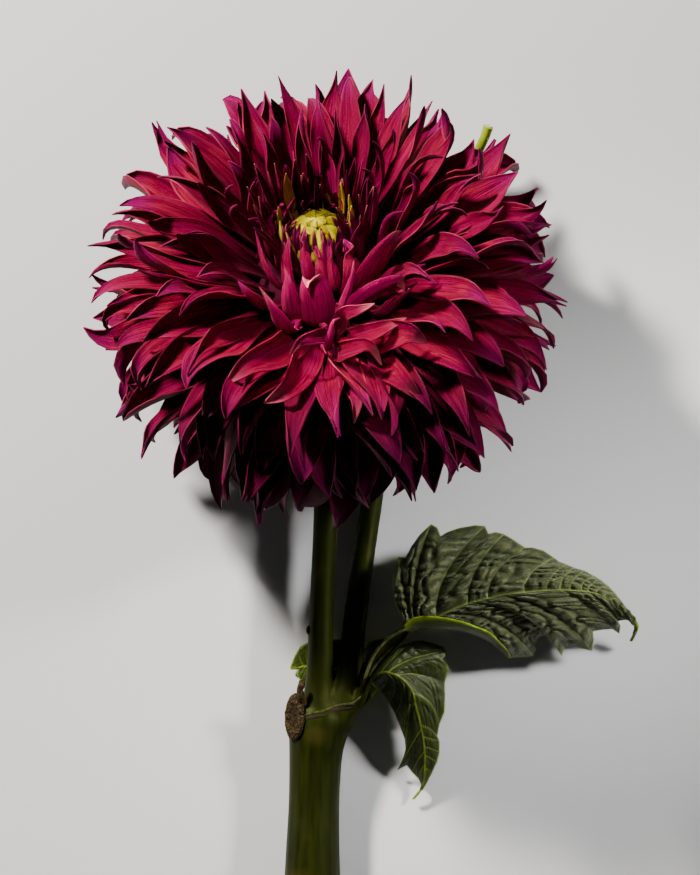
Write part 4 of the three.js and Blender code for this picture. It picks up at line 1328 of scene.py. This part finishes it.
def leaflet(node, faces, rib, above, below, leans, arch, quilt, folds=None):
    """A leaflet of two halves that share the midrib, thickened, with a paler under face."""
    name = f"{node}_blade"
    halves = (leaf_half(rib, above, math.radians(leans[0]), arch, quilt, None),
              leaf_half(rib, below, math.radians(leans[1]), arch, quilt, folds))
    roots, outward = [], []
    for places, *_ in halves:
        for lag in HAIR_SPOTS:
            margin = places[:-1, -1] * (1 - lag) + places[1:, -1] * lag
            roots.append(margin)
            outward.append(margin - places[:-1, HAIR_ROW])
    settle(hairs(f"{name}_hairs", np.concatenate(roots), np.concatenate(outward), HAIR_LENGTH,
                 hair_white), node)
    mesh = bmesh.new()
    layers = [mesh.verts.layers.float.new(field)
              for field in ("vein", "outward", "midvein", "cushion")]
    for half, (places, phase, *fields) in enumerate(halves):
        fields = (phase + OTHER_HALF * half, *fields)
        grid = [[mesh.verts.new(p) for p in row] for row in places]
        for i, row in enumerate(grid):
            for j, vertex in enumerate(row):
                for layer, field in zip(layers, fields):
                    vertex[layer] = field[i][j]
        for i in range(LEAF_ALONG - 1):
            for j in range(LEAF_OUT - 1):
                corners = (grid[i][j], grid[i + 1][j], grid[i + 1][j + 1], grid[i][j + 1])
                mesh.faces.new(corners[::-1] if half else corners)
    bmesh.ops.remove_doubles(mesh, verts=mesh.verts, dist=0.02 * MM)
    sheet = meshed(f"{name}_sheet", mesh, *faces)
    wall = sheet.modifiers.new("thickness", "SOLIDIFY")
    wall.thickness = LEAF_THICKNESS
    wall.offset = -1
    wall.material_offset = 1
    settle(finished(sheet, name, sharp=60), node)


leaf_upper = leaf_material("leaf_upper_face", ((0.0035, 0.0065, 0.0008), (0.064, 0.07, 0.023)),
                           (0.17, 0.21, 0.04), 0.25, 0.3 * MM)
leaf_veined = leaf_material("leaf_veined_face", ((0.006, 0.01, 0.001), (0.018, 0.025, 0.003)),
                            (0.15, 0.19, 0.015), 0.04, 0.12 * MM)
leaf_under = leaf_material("leaf_under_face", ((0.014, 0.024, 0.001), (0.034, 0.052, 0.003)),
                           (0.2, 0.27, 0.015), 0.06, 0.12 * MM)
# The back leaflet's face is painted bright: painted light, standing in for light shining through it from
# behind.
leaf_lit = leaf_material("leaf_lit_face", ((0.2, 0.33, 0.01), (0.36, 0.52, 0.025)),
                         (0.6, 0.72, 0.06), 0.05, 0.15 * MM)

hair_white = plain_material("hair", ((0.2, 0.24, 0.08), (0.3, 0.34, 0.14)), 500.0, 0.6, 0.05 * MM)

TERMINAL_RIB = [
    (405, 631, 28), (421, 623.5, 29.8), (437, 618, 31), (453, 610.5, 32.3), (469.5, 604, 33.3),
    (488, 599, 34), (506, 595, 34), (524, 593, 34), (549.5, 591, 32.8), (573, 591, 30.8),
    (593, 593, 28), (609.5, 599.5, 24.5), (622, 608.6, 20.5), (633, 617.7, 16),
    (640.5, 628.6, 11), (635, 643, 6)]
# Rows along the edge: place on the midrib, the edge's pixel and height, and the vein's number.
TERMINAL_ABOVE = [
    (0.0, 403.5, 624, 27, 0.0), (0.1, 396, 606, 26, 0.25), (0.22, 392, 590, 25, 0.5),
    (0.34, 393, 572, 23.5, 0.8), (0.42, 398.5, 558, 22.5, 1.0), (0.5, 406, 559, 22.8, 1.15),
    (0.56, 412, 547, 22, 1.4), (0.6, 421, 535, 21, 1.75), (0.65, 431.5, 525, 19.5, 2.0),
    (0.8, 438, 528.5, 20.5, 2.2), (1.0, 441, 537, 22, 2.4), (1.2, 449, 532.5, 21.5, 2.55),
    (1.5, 461, 528.5, 20.5, 2.75), (1.75, 476, 526, 19.5, 2.9), (1.95, 486, 527, 19.2, 3.0),
    (2.6, 489.5, 534.5, 21.5, 3.3), (3.6, 497, 533, 21.5, 3.75), (3.95, 505, 535, 21.5, 4.0),
    (4.3, 513, 539.5, 22, 4.35), (4.7, 521, 545, 22.8, 4.75), (5.0, 526, 548.5, 23.2, 5.0),
    (5.6, 534, 548.5, 22.8, 5.4), (6.3, 545, 551.5, 22.8, 5.75), (7.0, 556, 559, 23.4, 6.0),
    (7.5, 560, 562, 23.4, 6.5), (7.95, 567, 565, 23.2, 7.0), (8.5, 575, 568.5, 23, 8.0),
    (8.95, 586, 571.5, 22.6, 9.0), (9.5, 596, 577, 22, 10.0), (9.85, 602.5, 581, 21.6, 11.0),
    (10.3, 610, 587, 20.6, 12.0), (10.8, 617, 594, 19.6, 13.0), (11.3, 623, 601.5, 18.4, 14.0),
    (11.9, 629.5, 610, 17, 15.0), (12.6, 635, 616.5, 15.3, 16.0), (13.3, 639, 622.5, 13.5, 17.0),
    (14.1, 642, 630, 11, 18.0), (15.0, 635, 643.5, 6, 19.0)]
TERMINAL_BELOW = [
    (0.0, 407, 633, 27, 0.0), (0.2, 415, 630.5, 26.5, 0.2), (0.4, 429, 630, 25, 0.5),
    (0.6, 444, 629.8, 23, 0.8), (0.8, 458, 631, 21, 1.0), (1.0, 473, 634, 18.5, 1.3),
    (1.2, 486.5, 640, 15.5, 1.6), (1.35, 497, 647, 12.5, 1.8), (1.45, 505, 654, 10, 1.9),
    (1.55, 511, 660, 8.2, 2.0), (1.9, 523, 659.5, 8.4, 2.5), (2.3, 535, 658.5, 8.6, 3.0),
    (2.5, 538, 652, 9.6, 3.2), (2.8, 537, 644, 11.5, 3.4), (3.1, 541, 639, 12.4, 3.6),
    (3.4, 549, 636.5, 12.6, 3.8), (3.6, 555, 640, 12, 3.9), (3.8, 560, 648, 10.8, 3.95),
    (4.0, 564, 659, 9.4, 4.0), (4.3, 567, 649, 10.6, 4.3), (5.0, 579, 649.5, 10, 4.7),
    (5.6, 594.6, 653.5, 8, 5.0), (6.0, 596.6, 643, 10.5, 5.3), (6.4, 595.5, 633.5, 13, 5.5),
    (7.0, 605, 631.5, 13, 5.7), (7.8, 615, 631, 12, 5.9), (8.5, 622.5, 636, 10, 6.0),
    (9.2, 623.5, 628, 12.5, 6.5), (9.8, 620.5, 622.5, 14.5, 7.0), (10.8, 628.5, 621.5, 14, 8.0),
    (12.2, 635, 623.5, 12.5, 9.0), (13.8, 638, 631.5, 10, 10.0), (15.0, 633.5, 644, 6, 11.0)]
# Where the near edge rolls up and over: place on the midrib, and the free margin's place.
TERMINAL_FOLD = [
    (0.0, 405, 626, 30.5), (0.2, 413, 619.5, 32), (0.4, 427, 617.5, 33.5), (0.6, 444, 619, 34),
    (0.8, 461, 622.5, 33), (1.0, 475, 627.5, 30), (1.2, 490, 634, 26), (1.35, 500, 643.5, 20),
    (1.45, 508, 652, 14.5), (1.55, 512, 660, 9)]
leaflet("leaflet_terminal", (leaf_upper, leaf_under), TERMINAL_RIB, TERMINAL_ABOVE,
        TERMINAL_BELOW, (80, 25), 0.07, 3.4 * MM, TERMINAL_FOLD)

# Pale margins: the line that each follows, and its thickness.
MARGINS = {"rolled": ([row[1:] for row in TERMINAL_FOLD], 0.34),
           "near": ([row[1:4] for row in TERMINAL_BELOW[:10]], 0.34),
           "tip": (TERMINAL_RIB[-3:], 0.55)}
MARGIN_ABOVE = 0.25
leaf_margin = plain_material("leaf_margin", ((0.13, 0.19, 0.006), (0.26, 0.34, 0.015)), 400.0, 0.5,
                             0.1 * MM)
for name, (margin, size) in MARGINS.items():
    line = [(px, py, height + MARGIN_ABOVE, size) for px, py, height in margin]
    settle(stalk(f"leaf_rim_{name}", line, 60, leaf_margin, 12), "leaflet_terminal")

FRONT_RIB = [
    (371, 679, 19), (383, 674, 21.5), (395.6, 676.6, 22), (405.6, 683.4, 21.5),
    (413, 693.4, 20.5), (415.5, 704.6, 19), (419.3, 718, 17), (422.4, 732, 14.8),
    (424.9, 745.6, 12.4), (426, 756.8, 10.4), (426, 769, 8.4), (424.9, 784, 6),
    (421.8, 794, 4.4), (413.7, 804.7, 2.4)]
FRONT_ABOVE = [
    (0, 372, 672, 18, 0), (0.3, 382, 658.6, 18.5, 0.4), (0.6, 399, 648.6, 18, 0.8),
    (0.8, 414, 643, 17, 1.0), (1.0, 424, 642.4, 16.5, 1.3), (1.15, 435.4, 645.5, 15.5, 1.6),
    (1.3, 444, 649, 14.5, 1.8), (1.4, 447.3, 653.6, 14, 2.0), (1.6, 445.4, 658.6, 14.4, 2.2),
    (1.75, 441.7, 661, 15, 2.4), (1.9, 447.9, 667.3, 13.5, 2.6), (2.0, 449, 673.5, 13, 2.8),
    (2.2, 445.4, 686, 13, 3.0), (2.8, 446, 699.6, 12.5, 3.4), (3.4, 445.4, 714.5, 12, 3.75),
    (4.2, 440.4, 727, 11.5, 4.0), (5.5, 439, 734.4, 11, 4.6), (6.8, 438, 739, 10.6, 5.0),
    (7.6, 440.4, 745, 10, 6.0), (8.4, 440.4, 756, 8.6, 7.0), (9.2, 438, 766, 7.4, 8.0),
    (10.2, 433, 777, 6, 9.0), (11.2, 428, 787, 4.8, 10.0), (12.1, 424, 794.5, 3.8, 11.0),
    (13, 413.7, 804.7, 2.4, 12.0)]
FRONT_BELOW = [
    (0, 371.5, 683, 18, 0), (0.4, 373.3, 686, 17, 0.5), (0.8, 380.7, 694.6, 14.5, 1),
    (1.3, 389.4, 705.8, 12, 2), (2.0, 395.6, 717, 10.5, 3), (2.8, 400.6, 729.5, 9, 4),
    (3.8, 405.6, 743, 7.5, 5), (5.0, 406.8, 755.6, 6, 6), (6.0, 404.4, 764.3, 5, 6.6),
    (7.0, 398, 774.6, 3.6, 7), (7.8, 407.5, 769.3, 4.8, 7.5), (8.8, 413, 776.7, 4.4, 8),
    (10.0, 419.3, 783, 4.6, 9), (11.2, 422.6, 789.5, 4.2, 10), (12.2, 420, 798, 3.2, 11),
    (13, 413.7, 804.7, 2.4, 12)]
leaflet("leaflet_front", (leaf_veined, leaf_under), FRONT_RIB, FRONT_ABOVE, FRONT_BELOW,
        (60, 40), 0.06, 0.6 * MM)

BACK_RIB = [
    (370, 679, 17), (360, 676.5, 9), (353, 675, 6), (344, 673.5, 3.8), (334, 672, 2.8),
    (325, 670.5, 2.4), (316, 669.5, 2.2), (308, 669, 2.2), (302, 669, 2.2), (290, 671.6, 1.8)]
BACK_ABOVE = [
    (0, 379, 668, 15.5, 0), (0.3, 383, 655, 13, 0.5), (0.6, 385.7, 641, 10.5, 1),
    (1.2, 374.5, 643, 8.6, 2), (2, 365, 646.7, 6, 3), (3, 352, 643, 4, 4), (4, 338, 643, 3, 5),
    (5, 325, 643.5, 3, 6), (6, 314, 645, 3, 7), (7, 306, 646.7, 3, 8), (7.6, 299.9, 649.9, 3, 8.7),
    (8.2, 295.5, 657.3, 2.7, 9.3), (9, 290, 671.4, 1.8, 10)]
BACK_BELOW = [
    (0, 372, 684, 15, 0), (0.4, 379, 693, 12, 0.5), (0.9, 369.5, 703.3, 8, 1),
    (1.5, 361, 711.5, 5.6, 2), (2.4, 352, 700, 3.6, 3), (4, 336, 689, 2.2, 4),
    (5, 323, 688, 1.6, 5), (6, 311, 687, 1.4, 6), (7, 300, 683.4, 1.4, 7), (7.6, 297, 678, 1.5, 8),
    (8.2, 298.6, 671.8, 1.9, 9), (9, 290, 671.8, 1.8, 10)]
leaflet("leaflet_back", (leaf_lit, leaf_under), BACK_RIB, BACK_ABOVE, BACK_BELOW,
        (65, 65), 0.03, 0.3 * MM)
